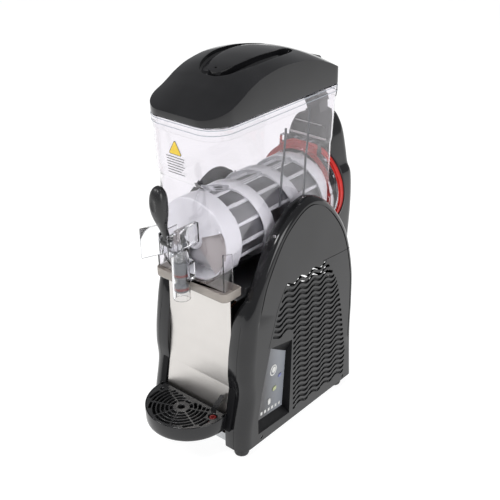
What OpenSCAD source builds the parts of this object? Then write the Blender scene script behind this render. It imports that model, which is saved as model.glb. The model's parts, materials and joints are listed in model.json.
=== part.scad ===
// Countertop slush machine with one bowl: a spiral auger turns on a cold drum inside a clear bowl,
// a lever tap lets the drink out at the front, and a drip tray hangs on the front pillars.
// Millimetres. Z = 0 is the worktop and X = 0 the middle of the width. The modules measure Y from
// the foot of the front pillars, rearwards, and place() then moves the middle of the depth to Y = 0.

/* [Body] */
// Width over both side panels
body_w = 270; // [262:1:276]
// Height of the rubber feet
foot_h = 22; // [20:1:24]
// Distance from the foot of the pillars back to the middle of the depth
front_to_mid = 170.5; // [169:0.5:172]
// Half of the gap between the two front pillars
pillar_gap = 84; // [83:1:86]
// Wall of the plastic mouldings
wall = 3; // [2.5:0.5:3.5]
// Inner face of the side panels above the deck
panel_in = 101; // [100:1:102]
// Height of the deck under the bowl
deck_z = 360; // [357:1:361]

/* [Vents] */
// Height from one wavy vent to the next
vent_pitch = 12.8; // [12:0.4:14]
// Height of one vent opening
vent_gap = 6; // [5:0.5:6.5]
// Length of one wave
wave_length = 44; // [40:1:48]
// Height of the wave above its middle line
wave_rise = 4.2; // [3:0.1:4.6]

/* [Bowl and drum] */
// Height of the auger's axis
axis_z = 468; // [467:1:470]
// Outer radius of the bowl's trough
bowl_r = 90; // [89.5:0.5:90.5]
// Radius of the cold drum
drum_r = 70; // [68:1:70]
// Outer radius of the auger
auger_r = 85.5; // [84:0.5:85.5]
// Height of the bowl's top edge
bowl_top = 714; // [712:1:714]
// Radius of the drive shaft
shaft_r = 8; // [7:0.5:9]
// Turns of the auger's ribbon
auger_turns = 3.1; // [2.5:0.1:3.1]

/* [Lid] */
// Underside of the lid
lid_z = 716; // [716:1:718]
// Half width of the lid
lid_half = 95; // [94:1:96]
// Rise of the lid's top across its width
lid_crown = 13; // [10:1:14]

/* [Tap] */
// Height of the tap lever's pivot
pivot_z = 490; // [489:1:491]
// Distance of the lever's pivot in front of the pillars' foot
pivot_y = -48; // [-49:1:-47]
// Distance of the piston's axis in front of the pillars' foot
piston_y = -17; // [-18:1:-17]
// Outer radius of the tap's vertical tube
tube_r = 17.5; // [17:0.5:18]

/* [Drip tray] */
// Radius of the tray's round front
tray_r = 93; // [92:1:94]
// Height of the tray's rim
tray_top = 104; // [103:1:105]
// Depth of the tray
tray_deep = 36; // [34:1:38]

/* [Hidden] */
half_w = body_w / 2;
corner_r = 27;
arch_r = 13;
bowl_wall = 3;
lid_front = -8;
lid_back = 360;
lid_corner = 50;
tap_roof = 463;
grip_deep = 16;
flange_y = 375;
tray_mid = tray_r - 106;
tray_floor = tray_top - tray_deep;
lug_x = [pillar_gap + 3, pillar_gap + 19];
lug_top = 163;
notch_z = [44, 223];
tower_half = 77;
panel_x = 121;
recess = [[49, 46], [151, 42], [160, 224], [91, 237], [62, 141], [49, 82]];
key_z = [96, 118, 140];
rear_y = 372;
inlet = [-60, 70];
rocker = [-60, 112];
feet_at = [[108, 26], [108, 350]];
$fn = 48;

// ---- curves and skins ----

// One point of a Catmull-Rom curve between b and c
function blend_point(a, b, c, d, t) =
    0.5 * (2 * b + (c - a) * t + (2 * a - 5 * b + 4 * c - d) * t * t
        + (3 * b - a - 3 * c + d) * t * t * t);

// Smooth curve through the points p, with n steps between two of them
function curve(p, n) =
    let (last = len(p) - 1)
    concat(
        [for (i = [0 : last - 1], k = [0 : n - 1])
            blend_point(p[max(i - 1, 0)], p[i], p[i + 1], p[min(i + 2, last)], k / n)],
        [p[last]]
    );

// Unit vector to the right of the way along p at its point i
function inward(p, i) =
    let (t = p[min(i + 1, len(p) - 1)] - p[max(i - 1, 0)])
    [t[1], -t[0]] / norm(t);

// Triangles that close a ring of n points, as a ladder between its two halves
function ladder(n) =
    [for (i = [0 : floor((n - 3) / 2)])
        each concat([[i, i + 1, n - 1 - i]], i + 1 < n - 2 - i ? [[i + 1, n - 2 - i, n - 1 - i]] : [])];

// Solid skin over rings of equally many points, each anticlockwise when seen along the skin
module skin(rings) {
    n = len(rings[0]);
    m = len(rings);
    polyhedron(
        points = [for (ring = rings) each ring],
        faces = concat(
            [for (t = ladder(n)) [t[2], t[1], t[0]]],
            [for (t = ladder(n)) t + (m - 1) * n * [1, 1, 1]],
            [for (j = [0 : m - 2], i = [0 : n - 1])
                [j * n + i, (j + 1) * n + (i + 1) % n, (j + 1) * n + i]],
            [for (j = [0 : m - 2], i = [0 : n - 1])
                [j * n + i, j * n + (i + 1) % n, (j + 1) * n + (i + 1) % n]]
        ),
        convexity = 8
    );
}

module place() {
    translate([0, -front_to_mid, 0]) children();
}

module both_sides() {
    children();
    mirror([1, 0, 0]) children();
}

// A box from one corner to the other
module block(low, high) {
    translate(low) cube(high - low);
}

// A flat outline in Y and Z, drawn out along X
module along_x(x0, x1) {
    translate([x0, 0, 0]) rotate([90, 0, 90]) linear_extrude(x1 - x0) children();
}

// A cylinder along Y from y0 to y1 on the auger's axis
module on_axis(y0, y1, r) {
    translate([0, y0, axis_z]) rotate([-90, 0, 0]) cylinder(h = y1 - y0, r = r);
}

// ---- side panels ----

// Side view of a panel: up the wavy front pillar, over the arch and down the back
side_line = curve([[0, foot_h], [2, 70], [16, 140], [14, 195], [22, 262], [48, 350], [112, 458],
    [166, 505], [214, 522], [258, 510], [308, 466], [350, 400], [375, 308], [379, 225], [377, 140],
    [383, foot_h]], 3);

// Radius of the panel's outer edge: wide down the pillar, tight round the arch
function edge_r(q) = q[0] > 190 ? arch_r : lookup(q[1], [[250, corner_r], [420, arch_r]]);

// Height of a panel point: an inner skin runs out below the open bottom edge
function down(i, z, extra) =
    i == 0 || i == len(side_line) - 1 ? foot_h - extra : max(z, foot_h);

// Ring of the side line at an angle of the rounded edge, moved in by an extra wall
function edge_ring(angle, extra) =
    [for (i = [0 : len(side_line) - 1])
        let (q = side_line[i],
            r = edge_r(q) - extra,
            in = extra + r * (1 - cos(angle)),
            s = q + in * inward(side_line, i))
        [half_w - extra - r * (1 - sin(angle)), s[0], down(i, s[1], extra)]];

// Flat ring at a given x, with the arch part moved in by bead
function flat_ring(x, bead, extra) =
    [for (i = [0 : len(side_line) - 1])
        let (q = side_line[i],
            up = q[1] < 300 ? 0 : min(1, (q[1] - 300) / 100),
            s = q + (bead * up + extra) * inward(side_line, i))
        [x, s[0], down(i, s[1], extra)]];

module panel_form(extra, x0) {
    skin(concat(
        [flat_ring(x0, 7, extra), flat_ring(panel_in + 7, 1, extra)],
        [for (angle = [0, 30, 60, 90]) edge_ring(angle, extra)]
    ));
}

function vent_start(z) =
    z < 245 ? 165 : lookup(z, [[236, 95], [285, 108], [318, 120], [346, 136], [366, 152]]);
function vent_end(z) =
    lookup(z, [[40, 346], [100, 350], [158, 341], [214, 332], [266, 319], [300, 310], [333, 294],
        [366, 262]]);
function wave(y) = wave_rise * sin(360 * y / wave_length);

module vent(z) {
    n = ceil((vent_end(z) - vent_start(z)) / (wave_length / 6));
    ys = [for (i = [0 : n]) vent_start(z) + (vent_end(z) - vent_start(z)) * i / n];
    polygon(concat(
        [for (y = ys) [y, z + wave(y) - vent_gap / 2]],
        [for (i = [n : -1 : 0]) [ys[i], z + wave(ys[i]) + vent_gap / 2]]
    ));
}

// Strip of the pillar's front between its inner edge and the side panel's own shell
module pillar_return() {
    front = [for (q = side_line) if (q[0] < 60 && q[1] < deck_z + 6) q];
    along_x(pillar_gap, panel_in + 3)
        polygon(concat(
            front,
            [for (i = [len(front) - 1 : -1 : 0]) front[i] + [wall, 0]]
        ));
}

module side_panel_shell() {
    difference() {
        union() {
            difference() {
                panel_form(0, panel_in);
                panel_form(wall, panel_in - 4);
            }
            pillar_return();
        }
        along_x(half_w - 12, half_w + 2)
            for (z = [47 : vent_pitch : 360]) vent(z);
        block([lug_x[0] - 3.5, -9, notch_z[0]], [lug_x[1] + 1.5, 25, notch_z[1]]);
        for (q = [[59, 33], [346, 31]])
            translate([half_w - 8, q[0], q[1]]) rotate([0, 90, 0]) cylinder(h = 10, r = 3.6);
    }
}

module right_side_panel() {
    color("black") place()
        difference() {
            side_panel_shell();
            along_x(half_w - 12, half_w + 2) polygon(recess);
        }
}

module left_side_panel() {
    color("black") place() mirror([1, 0, 0]) side_panel_shell();
}

module panel_screws() {
    color("dimgray") place() both_sides()
        for (q = [[59, 33], [346, 31]])
            translate([half_w - 22, q[0], q[1]]) rotate([0, 90, 0]) {
                cylinder(h = 16, r = 2);
                translate([0, 0, 16]) cylinder(h = 3, r = 3.3);
            }
}

// ---- structure ----

module base_plate() {
    color("silver") place()
        difference() {
            block([-120, 12, foot_h], [120, 370, foot_h + 19]);
            block([-118.5, 13.5, foot_h + 1.5], [118.5, 368.5, foot_h + 30]);
            for (q = feet_at)
                both_sides() translate([q[0], q[1], foot_h - 1]) cylinder(h = 4, r = 3.2);
            for (q = [[59, 33], [346, 31]])
                both_sides() translate([110, q[0], q[1]]) rotate([0, 90, 0]) cylinder(h = 14, r = 2.2);
        }
}

module feet() {
    color("black") place()
        for (q = feet_at) both_sides()
            translate([q[0], q[1], 0]) {
                difference() {
                    union() {
                        cylinder(h = 4, r1 = 14.5, r2 = 16);
                        translate([0, 0, 4]) cylinder(h = foot_h - 4, r = 16);
                    }
                    translate([0, 0, -1]) cylinder(h = 9, r = 6);
                }
                translate([0, 0, foot_h]) cylinder(h = 10, r = 3);
            }
}

// Side view of the stainless front, from the deck down to the base
front_line = curve([[30, deck_z - 3], [29, 300], [26, 240], [22, 200], [17, 161], [7, 104], [5, 64],
    [13.5, 47]], 3);

module front_panel() {
    color("lightgray") place()
        along_x(-pillar_gap - 0.4, pillar_gap + 0.4)
            polygon(concat(
                front_line,
                [for (i = [len(front_line) - 1 : -1 : 0]) front_line[i] + [1.2, 0]]
            ));
}

module tray_brackets() {
    color("black") place() both_sides()
        difference() {
            block([lug_x[0] - 1, 26, notch_z[0] - 6], [lug_x[1] + 10, 32, notch_z[1] + 8]);
            translate([lug_x[1] + 5, 20, 60]) rotate([-90, 0, 0]) cylinder(h = 20, r = 2.2);
            translate([lug_x[1] + 5, 20, 210]) rotate([-90, 0, 0]) cylinder(h = 20, r = 2.2);
        }
}

module deck() {
    color("black") place()
        difference() {
            union() {
                block([-98, 34, deck_z], [98, 371, deck_z + 4]);
                block([-80, 34, deck_z - 14], [80, 37, deck_z + 1]);
                both_sides() block([95, 60, deck_z + 3], [98, 371, deck_z + 16]);
            }
            both_sides()
                translate([70, 340, deck_z - 1]) cylinder(h = 8, r = 9);
        }
}

module rear_panel() {
    color("black") place()
        difference() {
            union() {
                block([-100, rear_y, foot_h + 1], [100, rear_y + 1.5, deck_z + 1]);
                both_sides() block([98.5, rear_y - 12, foot_h + 24], [100, rear_y + 1, deck_z - 22]);
            }
            for (z = [190 : 14 : 316])
                block([-70, rear_y - 1, z], [70, rear_y + 3, z + 6]);
            block([inlet[0] - 14, rear_y - 1, inlet[1] - 10], [inlet[0] + 14, rear_y + 3, inlet[1] + 10]);
            block([rocker[0] - 10, rear_y - 1, rocker[1] - 7], [rocker[0] + 10, rear_y + 3, rocker[1] + 7]);
            // refrigerant tubes pass through here
            for (q = [[30, 6], [-41.5, 7]])
                translate([q[0], rear_y - 1, 341.5]) rotate([-90, 0, 0]) cylinder(h = 4, r = q[1]);
        }
}

// Right half of the tower's front view, from its foot to the root of the neck
tower_line = curve([[72, deck_z - 24], [76, 400], [tower_half, 450], [74, 492], [65, 512], [60, 538],
    [52, 576], [43, 600], [27, 621], [0, 630]], 3);

function tower_ring(y, in) =
    let (right = [for (i = [0 : len(tower_line) - 1])
            let (s = tower_line[i] - in * inward(tower_line, i))
            [i == len(tower_line) - 1 ? 0 : s[0], i == 0 ? deck_z - 24 - in : s[1]]],
        n = len(right))
    concat(
        [for (i = [0 : n - 1]) [right[i][0], y, right[i][1]]],
        [for (i = [n - 2 : -1 : 0]) [-right[i][0], y, right[i][1]]]
    );

module tower_cover() {
    color("black") place()
        difference() {
            skin([tower_ring(381, 0), tower_ring(434, 0), tower_ring(443, 3), tower_ring(447, 10)]);
            skin([tower_ring(370, wall), tower_ring(432, wall), tower_ring(443.5, 9)]);
            for (z = [380 : 12 : 428])
                block([-34, 436, z], [34, 452, z + 5]);
        }
}

// The neck leans forwards from the tower to the back of the lid
module neck() {
    color("black") place()
        difference() {
            along_x(-19, 19)
                polygon([[396, 624], [424, 624], [420, 660], [399, 742], [392, 750], [374, 750], [372, 744]]);
            along_x(-16, 16)
                polygon([[400, 600], [420, 600], [416, 660], [396, 740], [380, 744]]);
            // seat on the tower's rounded top
            translate([0, 434, 0.05]) rotate([90, 0, 0]) linear_extrude(52)
                polygon(concat(tower_line,
                    [for (i = [len(tower_line) - 2 : -1 : 0]) [-tower_line[i][0], tower_line[i][1]]]));
        }
}

module drum_flange() {
    color("silver") place()
        difference() {
            union() {
                on_axis(flange_y, flange_y + 4, 104);
                block([-70, flange_y, deck_z + 4], [70, flange_y + 4, axis_z]);
            }
            on_axis(flange_y - 1, flange_y + 6, drum_r - 12);
        }
}

// ---- cold drum, gasket and shelf ----

module drum() {
    color("gainsboro") place()
        translate([0, 0, axis_z]) rotate([-90, 0, 0])
            rotate_extrude($fn = 96)
                polygon(concat(
                    [[shaft_r + 0.05, 46], [20, 40]],
                    [for (a = [0 : 15 : 90]) [drum_r - 14 + 14 * sin(a), 54 - 14 * cos(a)]],
                    [[drum_r, flange_y], [drum_r - 1.5, flange_y],
                    [drum_r - 1.5, 54], [drum_r - 14, 42], [22, 42], [14, 48], [14, flange_y + 3],
                    [shaft_r + 0.05, flange_y + 3]]
                ));
}

module bowl_gasket() {
    color("firebrick") place()
        difference() {
            union() {
                on_axis(362, 366, 98);
                on_axis(365, flange_y, 101);
            }
            on_axis(360, flange_y + 1, drum_r + 17);
        }
}

// Clear shelf that catches condensation under the front of the bowl
module drip_shelf() {
    color("tan", 0.5) place()
        difference() {
            shelf_block(0, deck_z + 5, deck_z + 24);
            shelf_block(2.5, deck_z + 8, deck_z + 40);
            on_axis(7, 60, bowl_r + 0.3);
        }
}

module shelf_block(in, z0, z1) {
    translate([0, 0, z0]) linear_extrude(z1 - z0) polygon(plan(96 - in, 2 + in, 52 - in, 14 - in, 5 - in));
}

// ---- drive and refrigeration ----

module gearmotor() {
    color("slategray") place() {
        difference() {
            union() {
                block([-48, 383, axis_z - 40], [48, 412, axis_z + 40]);
                on_axis(381, 384, 30);
            }
            on_axis(380, 404, shaft_r + 0.05);
        }
        translate([0, 412, axis_z + 4]) rotate([-90, 0, 0]) cylinder(h = 24, r = 30);
        both_sides()
            for (z = [-30, 30])
                translate([40, 379.1, axis_z + z]) rotate([-90, 0, 0]) cylinder(h = 5, r = 4);
    }
}

module compressor() {
    color("black") place()
        translate([-42, 122, 0]) {
            translate([0, 0, foot_h + 16]) cylinder(h = 120, r = 66);
            translate([0, 0, foot_h + 136]) cylinder(h = 26, r1 = 66, r2 = 34);
            translate([0, 0, foot_h + 8]) cylinder(h = 9, r = 30);
            for (a = [45 : 90 : 315])
                rotate([0, 0, a]) {
                    translate([20, -12, foot_h + 8]) cube([62, 24, 3]);
                    translate([72, 0, foot_h + 1.6]) cylinder(h = 7, r = 9);
                }
            translate([60, -16, foot_h + 60]) cube([18, 32, 44]);
        }
}

module condenser() {
    color("silver") place() {
        for (i = [0 : 21])
            translate([78, 196 + i * 6.4, 56]) cube([30, 1, 196]);
        for (z = [72 : 24 : 240])
            for (x = [86, 100])
                translate([x, 190, z]) rotate([-90, 0, 0]) cylinder(h = 146, r = 4);
        block([78, 190, 54], [108, 192, 254]);
        block([78, 334, 54], [108, 336, 254]);
        block([84, 190, foot_h + 1.5], [102, 192, 56]);
        block([84, 334, foot_h + 1.5], [102, 336, 56]);
    }
}

fan_mid = [263, 155];

module fan_shroud() {
    color("black") place()
        difference() {
            union() {
                block([72, 190, 54], [74, 336, 254]);
                translate([50, fan_mid[0], fan_mid[1]]) rotate([0, 90, 0]) cylinder(h = 24, r = 70);
                block([72, 190, 54], [78, 192, 254]);
                block([72, 334, 54], [78, 336, 254]);
            }
            translate([49, fan_mid[0], fan_mid[1]]) rotate([0, 90, 0]) cylinder(h = 27, r = 68);
        }
}

module fan_motor() {
    color("dimgray") place() {
        translate([0, fan_mid[0], fan_mid[1]]) rotate([0, 90, 0]) {
            translate([0, 0, 4]) cylinder(h = 38, r = 24);
            cylinder(h = 58, r = 3);
        }
        difference() {
            block([14, fan_mid[0] - 20, foot_h + 1.5], [17, fan_mid[0] + 20, fan_mid[1]]);
            block([10, fan_mid[0] - 10, foot_h + 20], [20, fan_mid[0] + 10, fan_mid[1] - 40]);
        }
    }
}

module fan_blades() {
    color("white") place()
        translate([48, fan_mid[0], fan_mid[1]]) rotate([0, 90, 0]) {
            difference() {
                cylinder(h = 14, r = 18);
                translate([0, 0, -1]) cylinder(h = 16, r = 3.05);
            }
            for (a = [0 : 72 : 288])
                rotate([0, 0, a]) translate([38, 0, 7]) rotate([28, 0, 0]) cube([50, 34, 1.6], center = true);
        }
}

module filter_drier() {
    color("peru") place()
        translate([30, 60, 0]) {
            translate([0, 0, 110]) cylinder(h = 70, r = 11);
            translate([0, 0, 180]) cylinder(h = 12, r1 = 11, r2 = 3.5);
            translate([0, 0, 98]) cylinder(h = 12, r1 = 3.5, r2 = 11);
        }
}

// Pipe swept through points, with eight sides
function across(p, i) =
    let (t = p[min(i + 1, len(p) - 1)] - p[max(i - 1, 0)], u = cross(t, [1, 0.3, 0.2]))
    u / norm(u);
function pipe_ring(p, i, r) =
    let (t = p[min(i + 1, len(p) - 1)] - p[max(i - 1, 0)], u = across(p, i), v = cross(t, u) / norm(t))
    [for (a = [0 : 45 : 315]) p[i] + r * (cos(a) * u + sin(a) * v)];

module pipe(points, r) {
    skin([for (i = [0 : len(points) - 1]) pipe_ring(points, i, r)]);
}

module refrigerant_tubes() {
    color("peru") place() {
        pipe([[30, 60, 97.8], [30, 60, 66], [40, 70, 54], [60, 100, 52], [76, 160, 54], [86, 189, 66]], 3);
        pipe([[30, 60, 192.3], [30, 60, 240], [30, 80, 290], [30, 160, 325], [30, 320, 335],
            [30, 362, 340], [30, 384, 343], [30, 392, 360], [30, 394, 426]], 2.5);
        pipe([[-42, 122, 184.4], [-42, 124, 240], [-42, 150, 290], [-42, 240, 325], [-42, 340, 335],
            [-42, 362, 340], [-41, 384, 343], [-37, 392, 360], [-36, 396, 426]], 3.5);
    }
}

// ---- controls ----

module control_box() {
    color("gainsboro") place()
        difference() {
            block([84, 58, 60], [panel_x - 4, 158, 216]);
            block([86, 60, 62], [panel_x - 2.5, 156, 214]);
            block([80, 90, 180], [90, 110, 200]);
        }
}

function grown(p, d, mid) = [for (q = p) q + d * (q - mid) / norm(q - mid)];
recess_mid = [105, 138];

module control_bezel() {
    color("black") place()
        difference() {
            along_x(panel_x - 3, half_w - 0.2) polygon(grown(recess, -0.5, recess_mid));
            along_x(panel_x, half_w + 2) polygon(grown(recess, -4, recess_mid));
            block([panel_x - 5, 84, 160], [panel_x + 2, 142, 196]);
            for (i = [0 : 2])
                translate([panel_x - 5, 92 + 20 * i, key_z[i] + 6]) rotate([0, 90, 0])
                    cylinder(h = 8, r = 7);
        }
}

module display() {
    color("darkslategray") place() block([panel_x - 2.6, 84.5, 160.5], [panel_x + 0.8, 141.5, 195.5]);
}

module key(i) {
    color("lightgray") place()
        translate([panel_x - 2, 92 + 20 * i, key_z[i] + 6]) rotate([0, 90, 0]) cylinder(h = 4.5, r = 6.5);
}

module key_left() {
    key(0);
}

module key_middle() {
    key(1);
}

module key_right() {
    key(2);
}

module power_inlet() {
    color("black") place()
        translate([inlet[0], 0, inlet[1]])
            difference() {
                union() {
                    block([-13.6, rear_y - 24, -9.6], [13.6, rear_y + 2, 9.6]);
                    block([-17, rear_y + 1.6, -13], [17, rear_y + 4, 13]);
                }
                block([-11.5, rear_y - 14, -7.5], [11.5, rear_y + 6, 7.5]);
            }
    color("silver") place()
        translate([inlet[0], 0, inlet[1]])
            for (x = [-7, 0, 7]) block([x - 1, rear_y - 15, -2], [x + 1, rear_y - 2, 2]);
}

module switch_frame() {
    color("black") place()
        translate([rocker[0], 0, rocker[1]])
            difference() {
                union() {
                    block([-9.6, rear_y - 14, -6.6], [9.6, rear_y + 2, 6.6]);
                    block([-12.5, rear_y + 1.6, -9.5], [12.5, rear_y + 3.6, 9.5]);
                }
                block([-8.2, rear_y - 12, -5], [8.2, rear_y + 6, 5]);
            }
}

module power_rocker() {
    color("firebrick") place()
        translate([rocker[0], rear_y - 4, rocker[1]])
            rotate([0, 0, 8])
                difference() {
                    block([-6.9, -1, -4.5], [6.9, 9, 4.5]);
                    translate([-6, 22.5, -6]) cylinder(h = 12, r = 15);
                    translate([6, 22.5, -6]) cylinder(h = 12, r = 15);
                }
}

// ---- auger ----

module drive_shaft() {
    color("silver") place() {
        on_axis(20, 403, shaft_r);
        difference() {
            on_axis(20, 32, 12);
            on_axis(19, 26, 5);
        }
    }
}

module shaft_seal() {
    color("black") place()
        difference() {
            on_axis(33, 39.5, 15);
            on_axis(32, 41, shaft_r);
        }
}

// Ribbon section: radius and place along the axis of its corners
ribbon = [[drum_r + 1.4, -5], [auger_r - 3.5, -4], [auger_r - 3, -15], [auger_r, -15], [auger_r, 15],
    [auger_r - 3, 15], [auger_r - 3.5, 4], [drum_r + 1.4, 5]];
auger_y = [64, 355];

function ribbon_ring(t) =
    let (a = -360 * auger_turns * t, y = auger_y[0] + (auger_y[1] - auger_y[0]) * t)
    [for (q = ribbon) [q[0] * cos(a), y + q[1], axis_z + q[0] * sin(a)]];

// Flat sector of the auger's nose between two angles and two places along the axis
module nose_sector(a0, a1, y0, y1) {
    translate([0, y1, axis_z]) rotate([90, 0, 0]) linear_extrude(y1 - y0)
        polygon(concat(
            [for (k = [0 : 24]) let (a = a0 + (a1 - a0) * k / 24) (auger_r - 1.5) * [cos(a), sin(a)]],
            [for (k = [24 : -1 : 0]) let (a = a0 + (a1 - a0) * k / 24) 17 * [cos(a), sin(a)]]));
}

module auger() {
    color("white") place() {
        skin([for (t = [0 : 1 / 66 : 1]) ribbon_ring(t)]);
        for (a = [20 : 90 : 290])
            translate([0, 0, axis_z]) rotate([0, a, 0])
                block([drum_r + 2, 52, -7], [drum_r + 8, 352, 7]);
        // nose: rings, hub and two plates that leave one sector open
        difference() {
            on_axis(43, 66, auger_r);
            on_axis(42, 67, drum_r + 3.7);
        }
        difference() {
            on_axis(20.5, 31.5, 20);
            on_axis(19, 33, 12.05);
        }
        difference() {
            on_axis(24.6, 44, auger_r - 0.4);
            on_axis(23, 46, auger_r - 4.3);
        }
        nose_sector(25, 240, 23.3, 27.2);
        nose_sector(-48, 26.5, 26, 30.4);
        for (a = [20 : 90 : 290])
            translate([0, 0, axis_z]) rotate([0, a, 0])
                block([drum_r + 3, 22.5, -11], [auger_r - 3.5, 56, 11]);
    }
}

// ---- bowl and tap ----

// Plan outline at one height: half width, front, back, front corner, back corner
function quarter(cx, cy, r, a0) =
    [for (k = [0 : 4]) [cx + r * cos(a0 + 22.5 * k), cy + r * sin(a0 + 22.5 * k)]];
function plan(hw, y0, y1, rf, rb) =
    concat(quarter(hw - rb, y1 - rb, rb, 0), quarter(rb - hw, y1 - rb, rb, 90),
        quarter(rf - hw, y0 + rf, rf, 180), quarter(hw - rf, y0 + rf, rf, 270));
function level(z, p) = [for (q = p) [q[0], q[1], z]];

module bowl_upper(in, z1) {
    skin([
        level(z1, plan(94 - in, -5 + in, 357 - in, 48 - in, 12 - in)),
        level(603, plan(92 - in, -2 + in, 350 - in, 46 - in, 12 - in)),
        level(594, plan(bowl_r - in, 4 + in, 349 - in, 44 - in, 12 - in)),
        level(axis_z + 40, plan(bowl_r - in, 7 + in, 342 - in, 30 - in, 8 - in)),
        level(axis_z - 1, plan(bowl_r - in, 8 + in, 341 - in, 12 - in, 6 - in))
    ]);
}

module bowl() {
    color("white", 0.3) place()
        difference() {
            union() {
                bowl_upper(0, bowl_top);
                on_axis(8, 341, bowl_r);
                on_axis(330, 361.6, bowl_r + 8);
                block([-50, 330, axis_z + 60], [50, 361.6, axis_z + 109]);
                // skirts that stand on the shelf
                both_sides() block([bowl_r - 3, 8, deck_z + 26], [bowl_r, 34, axis_z]);
                block([-bowl_r, 8, deck_z + 26], [bowl_r, 11, axis_z]);
            }
            bowl_upper(bowl_wall, bowl_top + 1);
            on_axis(8 + bowl_wall, 342, bowl_r - bowl_wall);
            on_axis(300, 363, bowl_r - bowl_wall);
            // mouth of the tap
            block([-9, -2, axis_z - 70], [9, 14, axis_z - 42]);
        }
    color("white", 0.3) place()
        difference() {
            translate([0, 0, bowl_top - 12]) linear_extrude(12) polygon(plan(96, -7, 359, 50, 13));
            translate([0, 0, bowl_top - 13]) linear_extrude(15) polygon(plan(90.7, -1.7, 353.7, 44.7, 8.7));
        }
}

// Vertical tube with cheeks for the lever, welded to the front of the bowl
module tap_body() {
    color("white", 0.3) place()
        difference() {
            union() {
                translate([0, piston_y, 355]) cylinder(h = tap_roof + 6 - 355, r = tube_r);
                block([-14, piston_y, axis_z - 76], [14, 7.6, axis_z - 36]);
                both_sides() {
                    block([9.5, pivot_y - 9, 462], [12.5, piston_y + 8, 508]);
                    block([12, pivot_y + 6, 470], [30, pivot_y + 9, 506]);
                    block([27, pivot_y + 6, 470], [30, 3, 506]);
                }
            }
            translate([0, piston_y, 350]) cylinder(h = tap_roof - 350, r = 14.05);
            translate([0, piston_y, tap_roof - 1]) cylinder(h = 10, r = 6.6);
            block([-8.5, piston_y, axis_z - 70], [8.5, 9, axis_z - 42]);
            both_sides()
                translate([9, pivot_y, pivot_z]) rotate([0, 90, 0]) cylinder(h = 5, r = 4.02);
        }
}

module lever_pin() {
    color("silver") place()
        translate([-15, pivot_y, pivot_z]) rotate([0, 90, 0]) {
            cylinder(h = 30, r = 4);
            translate([0, 0, -2]) cylinder(h = 3.5, r = 6);
            translate([0, 0, 28.5]) cylinder(h = 3.5, r = 6);
        }
}

// The spring between the piston and the tap's roof, as a sleeve of its own size
module tap_spring() {
    color("silver") place()
        translate([0, piston_y, 436.2])
            difference() {
                cylinder(h = tap_roof - 436.2, r = 12);
                translate([0, 0, -1]) cylinder(h = 30, r = 9);
            }
}

// Piston with two ring grooves, a waist, and a neck and head that the lever's fork lifts
module tap_piston() {
    color("dimgray") place()
        translate([0, piston_y, 0])
            rotate_extrude()
                polygon([[0, 372], [12, 372], [13.95, 375], [13.95, 377], [12, 377.2], [12, 381.8],
                    [13.95, 382], [13.95, 386], [9, 390], [9, 400], [13.95, 404], [13.95, 407],
                    [12, 407.2], [12, 411.8], [13.95, 412], [13.95, 436], [6.2, 436], [6.2, 480],
                    [4, 480], [4, pivot_z], [6.2, pivot_z], [6.2, 495], [0, 495]]);
}

module piston_rings() {
    color("firebrick") place()
        translate([0, piston_y, 0])
            for (z = [377.2, 407.2])
                translate([0, 0, z]) difference() {
                    cylinder(h = 4.6, r = 13.98);
                    translate([0, 0, -1]) cylinder(h = 7, r = 12);
                }
}

// Lever: paddle, waist, eye round the pin and a fork that lifts the piston's head
module tap_lever() {
    color("black") place() {
        difference() {
            union() {
                translate([-8.5, pivot_y, pivot_z]) rotate([0, 90, 0]) cylinder(h = 17, r = 9);
                hull() {
                    translate([-8, pivot_y - 3, pivot_z]) cube([16, 6, 10]);
                    translate([-8, pivot_y - 9, pivot_z + 34]) cube([16, 13, 4]);
                }
                hull() {
                    translate([-8, pivot_y - 9, pivot_z + 34]) cube([16, 13, 4]);
                    translate([0, pivot_y - 13, pivot_z + 76]) scale([1, 0.84, 1])
                        cylinder(h = 12, r = 17.5, $fn = 32);
                    translate([0, pivot_y - 13, pivot_z + 104]) scale([1, 0.84, 1])
                        cylinder(h = 12, r = 11, $fn = 32);
                }
                both_sides() block([4.8, pivot_y + 4, pivot_z - 6], [8.5, piston_y + 1, pivot_z - 1]);
            }
            translate([-12, pivot_y, pivot_z]) rotate([0, 90, 0]) cylinder(h = 24, r = 4.05);
        }
    }
}

module bowl_sticker() {
    color("gold") place()
        block([-30, -4.6, 612], [14, -4.1, 678]);
}

// ---- lid ----

function lid_edge(y) =
    lookup(y, [[-8, 728], [20, 738], [51, 750], [73, 761], [86, 768], [114, 779], [142, 785], [170, 788.5],
        [199, 789], [229, 787], [260, 782], [291, 775], [324, 763], [347, 752], [360, 745]]);
function lid_width(y, in) =
    let (r = lid_corner - in, d = max(0, lid_front + lid_corner - y), b = max(0, y - lid_back + 12))
    lid_half - in - (r - sqrt(max(0, r * r - d * d))) - (12 - sqrt(max(0, 144 - b * b))) * 0.9;
function lid_rise(y) = lid_crown * min(1, max(0.06, (y - lid_front) / 60));

// Cross-section of the lid at y: down the left side, under, and back over the top
function lid_ring(y, in, z0) =
    let (w = lid_width(y, in))
    concat(
        [[-w, y, z0], [w, y, z0]],
        [for (k = [8 : -1 : -8])
            [w * k / 8, y, lid_edge(y) - in + lid_rise(y) * (1 - pow(abs(k) / 8, 2.2))]]
    );

module lid_form(in, z0) {
    skin([for (y = [lid_front + in, -4, 3, 14, 28, 42, 60, 86, 114, 142, 170, 199, 229, 260, 291, 324,
        347, 354, lid_back - in]) lid_ring(y, in, z0)]);
}

// Finger groove round the grip ridge, a horseshoe open at the back whose floor follows the lid's top.
// Each point of its right arm holds X, Y and the half width.
grip_arm = [[0, 86, 4.5], [14, 88.5, 6], [26, 97, 8.5], [36, 111, 10], [43, 129, 11.5], [48.5, 153, 13],
    [50.8, 182, 13.4], [49.5, 212, 13.2], [44.5, 240, 13], [38, 259, 11.5], [33.5, 269, 8.5], [31, 274, 4]];

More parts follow.
